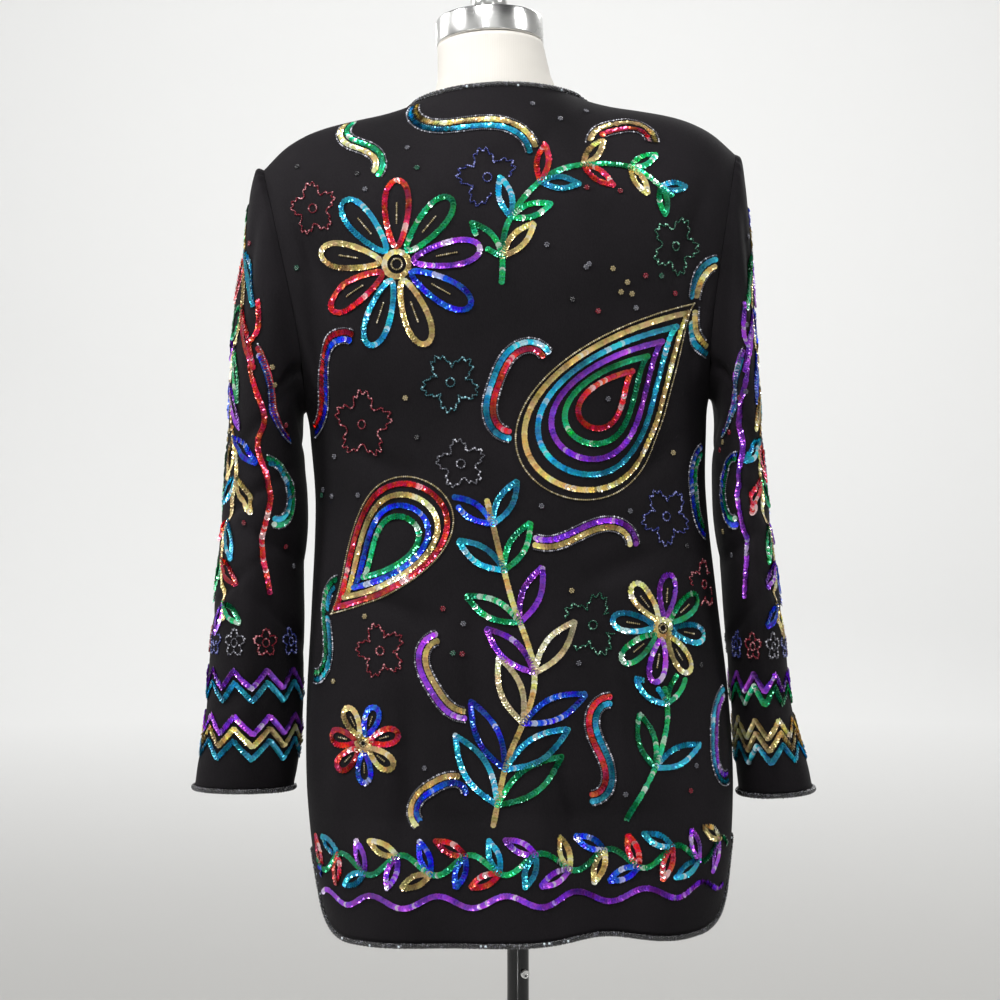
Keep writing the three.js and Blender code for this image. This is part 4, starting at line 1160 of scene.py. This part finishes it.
def wandering(count):
    # Stretches of light and dark a few centimetres long, as a lamp's glance wanders along a row
    knots = max(2, int(count * sequin["step"] / sequin["stretch"]) + 2)
    values = np.interp(np.linspace(0, knots - 1, count), np.arange(knots), seeded.random(knots))
    return values[:, None]


def rowTints(base, count):
    # Sequins: dim to bright stretches, and paler glints where they are brightest
    light = wandering(count)
    shade = sequin["dimmest"] + (sequin["brightest"] - sequin["dimmest"]) * light ** sequin["contrast"]
    tints = np.array(base) * shade * (sequin["leastShade"] + sequin["shades"] * seeded.random((count, 1)))
    picked = seeded.random((count, 1)) < sequin["glintShare"]
    glint = (light > sequin["glintFrom"]) * picked * sequin["glintWhite"]
    return np.clip(tints + glint * (1 - tints), 0, 1)


def seedTints(base, count):
    # Seed beads: some painted paler, in their own hue and towards grey, as painted glints
    base = np.array(base)
    paintedGlint = seed["paintedGlintHue"] * base / base.max() + seed["paintedGlintGrey"]
    tints = np.where(seeded.random((count, 1)) < seed["paintedGlint"], paintedGlint, base)
    return np.clip(tints * (seed["leastShade"] + seed["shades"] * seeded.random((count, 1))), 0, 1)


def gathered(store):
    return (np.concatenate([part[i] for part in store]) for i in range(4))


class Pattern:
    # The sequin rows, bead lines and dots sewn to one piece of cloth; later motifs stop short of earlier ones

    def __init__(self, place):
        self.place = place
        self.cups, self.seeds, self.dots = [], [], []
        self.sewn, self.motif = [], []

    def begin(self):
        self.sewn += self.motif
        self.motif = []

    def isFree(self, line, room=sewing["room"]):
        free = np.full(len(line), True)
        for other in self.sewn:
            low, high = other.min(0) - room, other.max(0) + room
            near = np.all((line > low) & (line < high), 1)
            if near.any():
                gaps = np.linalg.norm(line[near][:, None] - other[None], axis=2).min(1)
                free[near] &= gaps > room
        return free

    def row(self, line, colour):
        self.sew(self.cups, line, sequin["step"], colour, rowTints)

    def seedLine(self, line, colour):
        self.sew(self.seeds, line, seed["step"], colour, seedTints)

    def sew(self, store, line, step, colour, makeTints):
        # Even places along each stretch of the line that lies on the cloth and off the other motifs
        line = evenly(line, sewing["lineStep"])[0]
        points, normals, inside = self.place(line)
        inside = inside & self.isFree(line)
        self.motif.append(line[::2])
        for run in np.split(np.arange(len(line)), np.nonzero(np.diff(inside.astype(int)))[0] + 1):
            if inside[run[0]] and len(run) > sewing["shortest"]:
                places, around = evenly(points[run], step, normals[run])
                along = unit(np.gradient(places, axis=0))
                store.append((places, along, unit(around), makeTints(colours[colour], len(places))))

    def ribbon(self, line, first, second):
        # Two rows side by side with a line of seed beads along each
        self.begin()
        self.row(beside(line, sewing["rowGap"]), first)
        self.row(beside(line, -sewing["rowGap"]), second)
        for way in (1, -1):
            self.seedLine(beside(line, way * seed["contour"]), "smoke")

    def scatter(self, places, colour):
        # Dots of beads wherever the cloth is still free
        places = np.array(places, float)
        self.begin()
        points, normals, inside = self.place(places)
        inside = inside & self.isFree(places, sewing["dotRoom"])
        tint = np.array(colours[colour])
        self.dots += [(point, normal, tint) for point, normal in zip(points[inside], normals[inside])]

    def spray(self, stem, leaves, length, tints, spread=0.75, taper=0.45):
        # Leaves in pairs along a stem, each pair smaller than the last by an even share
        self.begin()
        self.row(stem, tints[0])
        along = np.gradient(stem, axis=0)
        for i in range(leaves):
            at = int((i + leafForm["firstAt"]) / leaves * (len(stem) - 1))
            heading = math.atan2(along[at, 1], along[at, 0])
            size = length * (1 - taper * i / leaves)
            for way in (1, -1):
                tint = tints[1 + (i + (way < 0)) % (len(tints) - 1)]
                self.row(leaf(stem[at], size, heading + way * spread), tint)

    def flower(self, centre, inner, outer, petals, tints):
        # Looped petals, each with a short vein of beads, round a ring of sequins and a ring of beads
        self.begin()
        width = 2 * math.pi * (inner + outer) / 2 / petals * flowerForm["fullness"]
        vein = np.linspace(flowerForm["veinFrom"], flowerForm["veinTo"], 9)[:, None] * (outer - inner)
        for i in range(petals):
            angle = i * 2 * math.pi / petals + flowerForm["turn"]
            out = np.array([math.cos(angle), math.sin(angle)])
            base = np.array(centre) + inner * out
            self.row(petal(base, outer - inner, angle, width), tints[i % len(tints)])
            self.seedLine(base + vein * out, "paleGold")
        self.row(circle(centre, inner * flowerForm["ring"], 40), "gold")
        self.seedLine(circle(centre, inner * flowerForm["eye"], 30), "paleGold")

    def blossoms(self, table):
        for across, level, radius, degrees, colour in table:
            self.begin()
            self.seedLine(blossom((across, level), radius, math.radians(degrees)), colour)
            self.seedLine(circle((across, level), blossomForm["eye"], 30), colour)

    def scrolls(self, table):
        for across, level, degrees, length, bend, mirrored, first, second in table:
            self.ribbon(scroll((across, level), degrees, length, bend, mirrored), first, second)

    def nested(self, centre, size, degrees, hand, tints):
        # Paisleys one inside another, with a bead line round them
        self.begin()
        turn = math.radians(degrees)
        self.seedLine(paisley(centre, size * nestForm["outline"], turn, hand), "paleGold")
        for i, tint in enumerate(tints):
            self.row(paisley(centre, size * (1 - nestForm["shrink"] * i), turn, hand), tint)

    def vine(self, start, length, level, leaves, tints):
        # A waving stem above the hem with small leaves on both sides, and a second row beside it
        along = np.linspace(0, length, 260)
        swing = vineForm["swing"] * np.sin(along / length * leaves * math.pi)
        stem = placed(along, swing, (start, level))
        self.spray(stem, leaves, vineForm["leaf"], tints, vineForm["spread"], 0)
        self.begin()
        second = placed(along, -swing * vineForm["secondSwing"], (start, level - vineForm["secondDown"]))
        self.row(second, tints[2])

    def finish(self, name):
        self.finishCups(name)
        self.finishSeeds(name)
        self.finishDots(name)

    def finishCups(self, name):
        # Each sequin leans back on the one before it, with a random nod, roll, turn and size
        places, along, normals, tints = gathered(self.cups)
        count = len(places)
        shingle = sequin["shingle"] + sequin["wobble"] * seeded.normal(size=(count, 1)) * sequin["nod"]
        aside = sequin["wobble"] * seeded.normal(size=(count, 1)) * sequin["roll"]
        across = unit(np.cross(normals, along))
        facing = unit(normals + shingle * -along + aside * across)
        spin = seeded.random((count, 1)) * math.pi / 4  # up to one facet
        heading = unit(along * np.cos(spin) + across * np.sin(spin))
        sizes = sequin["radius"] * (sequin["smallest"] + sequin["sizes"] * seeded.random(count))
        places = places + normals * sequin["lift"]
        sewOn(name + "Sequins", cup, places, heading, facing, sizes, tints, "sequins", False)

    def finishSeeds(self, name):
        # One bead at each place, of a random size
        places, along, normals, tints = gathered(self.seeds)
        sizes = seed["radius"] * (seed["smallest"] + seed["sizes"] * seeded.random(len(places)))
        places = places + normals * seed["lift"]
        sewOn(name + "SeedBeads", seedBead, places, along, normals, sizes, tints, "bead_edging", True)

    def finishDots(self, name):
        # A ring of beads round one in the middle
        points, normals, tints = (np.array([one[i] for one in self.dots]) for i in range(3))
        count = dot["beadsRound"] + 1
        turn = (np.arange(count) * 2 * math.pi / dot["beadsRound"])[None, :, None]
        side = unit(np.cross(normals, np.array([0.2, 0.1, 1.0])))  # any direction in the cloth
        other = np.cross(normals, side)
        ring = np.cos(turn) * side[:, None] + np.sin(turn) * other[:, None]
        ring[:, -1] = 0
        places = points[:, None] + ring * dot["ring"] + normals[:, None] * dot["lift"]
        side, normals, tints = (np.repeat(values, count, 0) for values in (side, normals, tints))
        sizes = np.full(len(tints), dot["radius"])
        places = places.reshape(-1, 3)
        sewOn(name + "DotBeads", roundBead, places, side, normals, sizes, tints, "bead_edging", True)


rainbow = ("gold", "turquoise", "red", "green", "purple", "blue")


def backPattern():
    pattern = Pattern(lambda flat: onPanel("back", flat))
    pattern.vine(-0.225, 0.45, 0.655, 14, ("green", "gold", "purple", "turquoise", "red", "blue"))
    pattern.flower((0.098, 1.205), 0.016, 0.078, 9, rainbow)
    pattern.nested((-0.088, 1.075), 0.205, 14, -1, ("gold", "turquoise", "purple", "green", "red"))
    pattern.nested((0.112, 0.945), 0.145, -165, -1, ("red", "gold", "blue", "green"))
    stem = curve([(0.026, 0.690), (0.012, 0.745), (-0.016, 0.820), (0.004, 0.900), (0.022, 0.985)])
    pattern.spray(stem, 7, 0.074, ("gold", "green", "turquoise", "blue", "cream", "purple"))
    pattern.flower((-0.140, 0.862), 0.011, 0.050, 8, ("turquoise", "gold", "purple", "green"))
    stem = curve([(-0.098, 0.690), (-0.128, 0.735), (-0.142, 0.775), (-0.140, 0.806)])
    pattern.spray(stem, 2, 0.052, ("green", "turquoise", "green"))
    stem = curve([(0.002, 1.185), (-0.006, 1.240), (-0.050, 1.285), (-0.118, 1.290), (-0.160, 1.262)])
    pattern.spray(stem, 6, 0.042, ("green", "gold", "green", "turquoise", "red"))
    pattern.flower((0.150, 0.765), 0.009, 0.036, 7, ("red", "gold", "blue"))
    pattern.scrolls((
        (0.030, 1.334, 176, 0.150, 1.5, False, "turquoise", "gold"),
        (0.182, 1.100, 96, 0.130, 1.9, False, "blue", "red"),
        (-0.186, 1.160, 92, 0.120, 2.0, True, "gold", "turquoise"),
        (0.010, 1.095, 112, 0.130, 2.2, True, "red", "turquoise"),
        (-0.060, 0.952, -24, 0.130, 2.0, False, "purple", "gold"),
        (-0.187, 0.985, 84, 0.120, 2.2, True, "green", "blue"),
        (0.190, 0.870, 82, 0.120, 2.0, False, "turquoise", "green"),
        (0.078, 0.815, 60, 0.110, 1.9, True, "gold", "purple"),
        (-0.075, 0.755, 66, 0.110, 2.0, False, "turquoise", "red"),
        (0.082, 0.725, 150, 0.085, 2.0, True, "blue", "gold"),
        (-0.200, 0.760, 96, 0.120, 2.1, True, "purple", "turquoise"),
        (-0.115, 1.330, 168, 0.085, 1.9, True, "red", "gold"),
        (0.135, 1.320, 22, 0.080, 1.9, False, "green", "gold"),
    ))
    pattern.blossoms((
        (0.012, 1.282, 0.027, 80, "darkBlue"),
        (0.180, 1.262, 0.024, 12, "darkRed"),
        (-0.165, 1.215, 0.026, 40, "darkGreen"),
        (0.052, 1.095, 0.026, 60, "darkTeal"),
        (0.140, 1.060, 0.030, 25, "darkRed"),
        (-0.150, 0.965, 0.026, 60, "darkBlue"),
        (0.045, 1.020, 0.022, 10, "smoke"),
        (-0.072, 0.868, 0.028, 33, "darkGreen"),
        (0.128, 0.850, 0.024, 5, "darkRed"),
        (-0.195, 0.900, 0.022, 20, "darkRed"),
    ))
    places = seeded.random((120, 2)) * (0.41, 0.66) + (-0.205, 0.70)
    for i, colour in enumerate(("smoke", "darkRed", "smoke", "jet", "paleGold", "darkGreen")):
        pattern.scatter(places[i::6], colour)
    pattern.finish("back")


def frontPattern(name, hand, first):
    # Across runs from the front edge towards the side
    pattern = Pattern(lambda flat: onPanel("front", flat * (hand, 1)))
    tints = rainbow[first:] + rainbow[:first]
    pattern.vine(0.0, 0.27, 0.655, 8, ("green", *tints[:5]))
    pattern.flower((0.115, 1.205), 0.013, 0.062, 8, tints)
    pattern.nested((0.085, 1.020), 0.165, -16, 1, ("gold", tints[1], tints[2], tints[3]))
    stem = curve([(0.060, 0.690), (0.085, 0.760), (0.075, 0.830), (0.100, 0.900)])
    pattern.spray(stem, 5, 0.054, ("gold", "green", *tints[:3]))
    pattern.scrolls((
        (0.040, 1.120, 84, 0.110, 1.9, True, tints[1], tints[0]),
        (0.175, 1.110, 96, 0.110, 2.0, False, tints[2], tints[5]),
        (0.030, 0.890, 80, 0.110, 2.0, False, tints[4], tints[0]),
        (0.180, 0.920, 84, 0.120, 2.1, True, tints[3], tints[1]),
        (0.150, 0.770, 70, 0.110, 1.9, False, tints[5], tints[2]),
        (0.225, 0.780, 92, 0.100, 2.0, True, tints[0], tints[4]),
    ))
    pattern.blossoms((
        (0.045, 1.235, 0.022, 10, "darkRed"),
        (0.180, 1.035, 0.026, 40, "darkBlue"),
        (0.040, 0.800, 0.020, 20, "darkGreen"),
        (0.140, 0.870, 0.024, 60, "darkTeal"),
        (0.235, 0.990, 0.024, 5, "darkRed"),
    ))
    for colour in ("smoke", "darkRed", "paleGold"):
        pattern.scatter(seeded.random((16, 2)) * (0.22, 0.55) + (0.01, 0.75), colour)
    pattern.finish(name)


def sleevePattern(name, sleeve, first):
    # A long spray down the outer and back faces, waves beside it and zigzag bands above the cuff
    pattern = Pattern(lambda flat: onSleeve(sleeve, flat))
    tints = rainbow[first:] + rainbow[:first]
    stem = ((0.030, 0.545), (0.060, 0.470), (0.030, 0.390), (0.058, 0.310), (0.036, 0.235), (0.050, 0.165))
    pattern.spray(curve(stem), 9, 0.056, ("gold", *tints))
    for start, length, waves, tint in (
        ((0.000, 0.560), 0.38, 3.2, tints[2]),
        ((-0.018, 0.545), 0.36, 3.0, tints[4]),
        ((0.100, 0.520), 0.33, 3.1, tints[1]),
    ):
        pattern.begin()
        pattern.row(wave(start, -math.pi / 2, length, waves, 0.011), tint)
    reach, zigzags, height = sleeve["around"][0] / 2, 9, 0.018
    across = np.linspace(-reach, reach, 500)
    peak = height * 2 * np.abs((across / (2 * reach / zigzags)) % 1 - 0.5)
    bands = ((0.030, "turquoise"), (0.042, "gold"), (0.054, tints[3]), (0.086, tints[0]), (0.098, "purple"))
    for level, tint in bands:
        pattern.row(np.stack([across, level + peak], -1), tint)
    small = ("smoke", "darkRed", "darkBlue")
    pattern.blossoms([
        ((i - 4) * 2 * reach / zigzags, 0.142, 0.013, 90, small[i % 3]) for i in range(zigzags)
    ])
    pattern.scrolls((
        (-0.070, 0.290, 86, 0.110, 1.9, False, tints[1], "gold"),
        (-0.078, 0.430, 96, 0.110, 2.0, True, tints[3], tints[5]),
        (0.135, 0.300, 92, 0.110, 1.9, True, tints[0], tints[2]),
        (0.135, 0.440, 84, 0.100, 2.0, False, tints[4], tints[1]),
    ))
    for colour in ("smoke", "paleGold", "darkRed"):
        pattern.scatter(seeded.random((14, 2)) * (0.26, 0.40) + (-0.10, 0.15), colour)
    pattern.finish(name)


backPattern()
frontPattern("frontLeft", 1, 0)
frontPattern("frontRight", -1, 2)
sleevePattern("sleeveLeft", sleeveLeft, 1)
sleevePattern("sleeveRight", sleeveRight, 3)
print("decoration sewn on")

# Dress form and stand

formLevels = {
    "z": (
        0.700, 0.706, 0.712, 0.780, 0.860, 0.920, 0.965, 1.020, 1.080, 1.115, 1.160, 1.210,
        1.250, 1.290, 1.318, 1.335, 1.3445, 1.349, 1.355, 1.3615, 1.372, 1.390, 1.408, 1.423,
    ),
    "half": (
        0.160, 0.167, 0.170, 0.177, 0.166, 0.145, 0.132, 0.141, 0.157, 0.164, 0.168, 0.173,
        0.178, 0.179, 0.174, 0.163, 0.150, 0.1355, 0.106, 0.079, 0.060, 0.0545, 0.0525, 0.051,
    ),
    "back": (
        0.100, 0.105, 0.108, 0.110, 0.102, 0.090, 0.085, 0.090, 0.097, 0.100, 0.101, 0.099,
        0.093, 0.084, 0.076, 0.070, 0.066, 0.063, 0.060, 0.057, 0.053, 0.051, 0.050, 0.050,
    ),
    "front": (
        0.100, 0.105, 0.108, 0.110, 0.106, 0.098, 0.095, 0.107, 0.124, 0.128, 0.120, 0.104,
        0.090, 0.074, 0.065, 0.060, 0.058, 0.057, 0.056, 0.055, 0.053, 0.052, 0.051, 0.050,
    ),
    "power": (
        2.2, 2.2, 2.2, 2.2, 2.2, 2.1, 2.1, 2.1, 2.1, 2.1, 2.1, 2.1,
        2.1, 2.0, 1.8, 1.6, 1.5, 1.4, 1.45, 1.7, 2.0, 2.0, 2.0, 2.0,
    ),
    "y": (0,) * 20 + (-0.001, -0.003, -0.006, -0.008),
}
stand = {
    "formSides": 96, "formRows": 220, "underCloth": 0.0024, "topZ": 1.423, "neckFoot": 1.3615,
    "neckAside": 0.005, "neckTilt": math.radians(8), "capRadius": 0.0515, "capHeight": 0.024,
    "capRim": 0.0015, "capForward": 0.008, "capClear": 0.0006, "poleRadius": 0.0105, "poleFoot": 0.0083,
    "screwZ": 0.532, "screwBearing": math.radians(120), "screwSides": 48, "knurl": 0.03, "touch": 0.0003,
    "baseRadius": 0.165, "baseThick": 0.008, "plateRadius": 0.024, "plateHalf": 0.004,
    "coverAbove": 1.25, "coverPast": 0.002,  # where the torso is drawn in under the cloth
}
capKnob = (
    (0.001, 0), (0.013, 0), (0.013, 0.002), (0.016, 0.007), (0.018, 0.016),
    (0.0169, 0.025), (0.0119, 0.033), (0.0054, 0.037), (0.001, 0.038),
)
socket = ((0.0110, 0), (0.027, 0), (0.027, 0.005), (0.021, 0.009), (0.0195, 0.046), (0.0110, 0.046))
screwHead = (
    (0.0040, 0), (0.0045, 0.0005), (0.0045, 0.0035), (0.0038, 0.0040), (0.0020, 0.0040), (0.0018, 0.0036),
)


def makeTorso():
    # Level superellipses leaning with the cloth, drawn in wherever they would come through it
    z = np.linspace(formLevels["z"][0], formLevels["z"][-1], stand["formRows"])[:, None]
    angle = (np.arange(stand["formSides"]) * 2 * math.pi / stand["formSides"])[None]
    exponent = 2 / np.interp(z, formLevels["z"], formLevels["power"])
    level = lambda column: np.interp(z, formLevels["z"], formLevels[column])
    x = signedPower(np.sin(angle), exponent) * level("half")
    depth = np.where(np.cos(angle) > 0, level("back"), level("front"))
    y = signedPower(np.cos(angle), exponent) * depth + level("y")
    for side, way in (("back", 1), ("front", -1)):
        under = np.maximum(clothDepth(side, x, z + 0 * x) - stand["underCloth"], 0)
        covered = (z < topEdge(side, np.abs(x)) + stand["coverPast"]) & (z > stand["coverAbove"])
        covered &= way * y > 0
        y = np.where(covered & (way * y > under), way * under, y)
    up = np.clip((z - stand["neckFoot"]) / (stand["topZ"] - stand["neckFoot"]), 0, 1)
    slant = z + y * math.tan(stand["neckTilt"]) * up
    rings = lean(np.stack([x + stand["neckAside"] * up, y, slant], -1))
    newLoft("formTorso", rings, "jersey", ["form_torso"])


def tilted(points, turns):
    # Turned about Y, then about X
    tiltX, tiltY = turns
    x, y, z = np.moveaxis(np.asarray(points, float), -1, 0)
    x, z = x * math.cos(tiltY) + z * math.sin(tiltY), z * math.cos(tiltY) - x * math.sin(tiltY)
    y, z = y * math.cos(tiltX) - z * math.sin(tiltX), z * math.cos(tiltX) + y * math.sin(tiltX)
    return np.stack([x, y, z], -1)


def turnedRings(radius, height, sides):
    # A ring round the Z axis for each radius and height
    angle = np.arange(sides) * 2 * math.pi / sides
    x, y = radius[:, None] * np.cos(angle), radius[:, None] * np.sin(angle)
    return np.stack([x, y, height[:, None] + 0 * x], -1)


def revolved(name, profile, slot, node, place=(0, 0, 0), turns=(0, 0), sides=96, hollow=False):
    # A profile of (radius, height) turned about the Z axis, tilted and moved to its place
    radius, height = np.array(profile, float).T
    rings = tilted(turnedRings(radius, height, sides), turns) + np.array(place)
    if not hollow:
        newLoft(name, rings, slot, [node])
        return
    count = len(rings)
    faces = np.concatenate([gridFaces(count, sides, True), gridFaces(2, sides, True) + (count - 1) * sides])
    faces = faces % (count * sides)
    points = rings.reshape(-1, 3)
    faces = faces[:, ::-1] if isInsideOut(points, faces) else faces
    newPiece(name, points, [faces], slot, [node])


def rounded(corners, radius):
    # A profile with each inner corner replaced by a short arc, at most 0.45 of its sides long
    points = [corners[0]]
    for before, corner, after in zip(corners, corners[1:], corners[2:]):
        a, b, c = (np.array(p, float) for p in (before, corner, after))
        cut = min(radius, 0.45 * np.linalg.norm(a - b), 0.45 * np.linalg.norm(c - b))
        start = b + unit((a - b)[None])[0] * cut
        end = b + unit((c - b)[None])[0] * cut
        for t in np.linspace(0, 1, 4):
            points.append(tuple((1 - t) ** 2 * start + 2 * t * (1 - t) * b + t**2 * end))
    return [*points, corners[-1]]


def disc(radius, low, high, rim):
    return rounded([(0.001, low), (radius, low), (radius, high), (0.001, high)], rim)


def makeCap():
    # A disc and a knob of revolution on the neck's tilted top
    place = lean(np.array([stand["neckAside"], -stand["capForward"], stand["topZ"] + stand["capClear"]]))
    turns = (stand["neckTilt"], jacket["leanAngle"])
    profile = disc(stand["capRadius"], 0, stand["capHeight"], stand["capRim"])
    revolved("neckCap", profile, "chrome", "neck_cap", place, turns)
    step = tilted([0, 0, stand["capHeight"] + stand["touch"]], turns)
    revolved("capKnob", rounded(capKnob, 0.003), "chrome", "cap_knob", place + step, turns)


def makePole():
    # Solids of revolution: plate, pole, hollow socket and base
    middle = [(low + high) / 2 for low, high in zip(*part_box("hanger_plate"))]
    profile = disc(stand["plateRadius"], -stand["plateHalf"], stand["plateHalf"], 0.001)
    revolved("hangerPlate", profile, "enamel", "hanger_plate", middle, (0, jacket["leanAngle"]))
    low, high = (corner[2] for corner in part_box("pole"))
    revolved("pole", disc(stand["poleRadius"], low, high, 0.0006), "enamel", "pole", sides=48)
    profile = [(radius, height + stand["poleFoot"]) for radius, height in socket]
    revolved("poleSocket", profile, "enamel", "pole_socket", hollow=True)
    revolved("basePlate", disc(stand["baseRadius"], 0, stand["baseThick"], 0.002), "enamel", "base")


def makeScrew():
    # A short knurled head whose axis points out from the pole, and its screw's flat end
    bearing, sides = stand["screwBearing"], stand["screwSides"]
    out = np.array([math.cos(bearing), math.sin(bearing), 0])
    side = np.array([-math.sin(bearing), math.cos(bearing), 0])
    up = np.array([0, 0, 1])
    angle = (np.arange(sides) * 2 * math.pi / sides)[:, None]
    knurl = 1 - stand["knurl"] * (np.arange(sides) % 2)[:, None]
    reach = stand["poleRadius"] + stand["touch"]
    rings = []
    for radius, depth in screwHead:
        ring = (np.cos(angle) * side + np.sin(angle) * up) * radius * knurl
        rings.append(ring + out * (reach + depth) + up * stand["screwZ"])
    newLoft("poleScrew", np.array(rings), "chrome", ["pole_screw"])


makeTorso()
makeCap()
makePole()
makeScrew()
print("form and stand made")


def makeFloor():
    # A flat disc whose rim curves up into a wall as a quarter of an ellipse
    sides, flat = studio["floorSides"], studio["floorFlat"]
    bend = np.linspace(0, math.pi / 2, 40)
    radius = flat + (studio["floorReach"] - flat) * np.sin(bend)
    radius = np.concatenate([[0.001, flat / 2], radius])
    height = np.concatenate([[0, 0], studio["floorRise"] * (1 - np.cos(bend))])
    rings = turnedRings(radius, height, sides)
    faces = gridFaces(len(radius), sides, True)
    floor = newObject("floor", rings.reshape(-1, 3), [faces], makeFloorPaint())


makeFloor()

# Cut of the cloth: width and length of the flat piece, and its area

cuts = (
    (back, (0.53, 0.80), 0.385, "back", "backRope"),
    (frontLeft, (0.27, 0.79), 0.190, "frontLeft", "frontLeftRope"),
    (frontRight, (0.27, 0.79), 0.190, "frontRight", "frontRightRope"),
    (sleeveLeft, (0.40, 0.61), 0.185, "sleeveLeft", "cuffLeftRope"),
    (sleeveRight, (0.40, 0.61), 0.185, "sleeveRight", "cuffRightRope"),
)
for cloth, flat, area, name, edging in cuts:
    sewn = [bpy.data.objects[name + kind] for kind in ("Sequins", "SeedBeads", "DotBeads")]
    sewn.append(bpy.data.objects[edging + "Beads"])

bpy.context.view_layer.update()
pieces = [thing for thing in bpy.data.objects if thing.type == "MESH" and "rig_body" in thing]
triangles = [sum(len(face.vertices) - 2 for face in piece.data.polygons) for piece in pieces]
print("triangles", sum(triangles), "most", max(triangles))
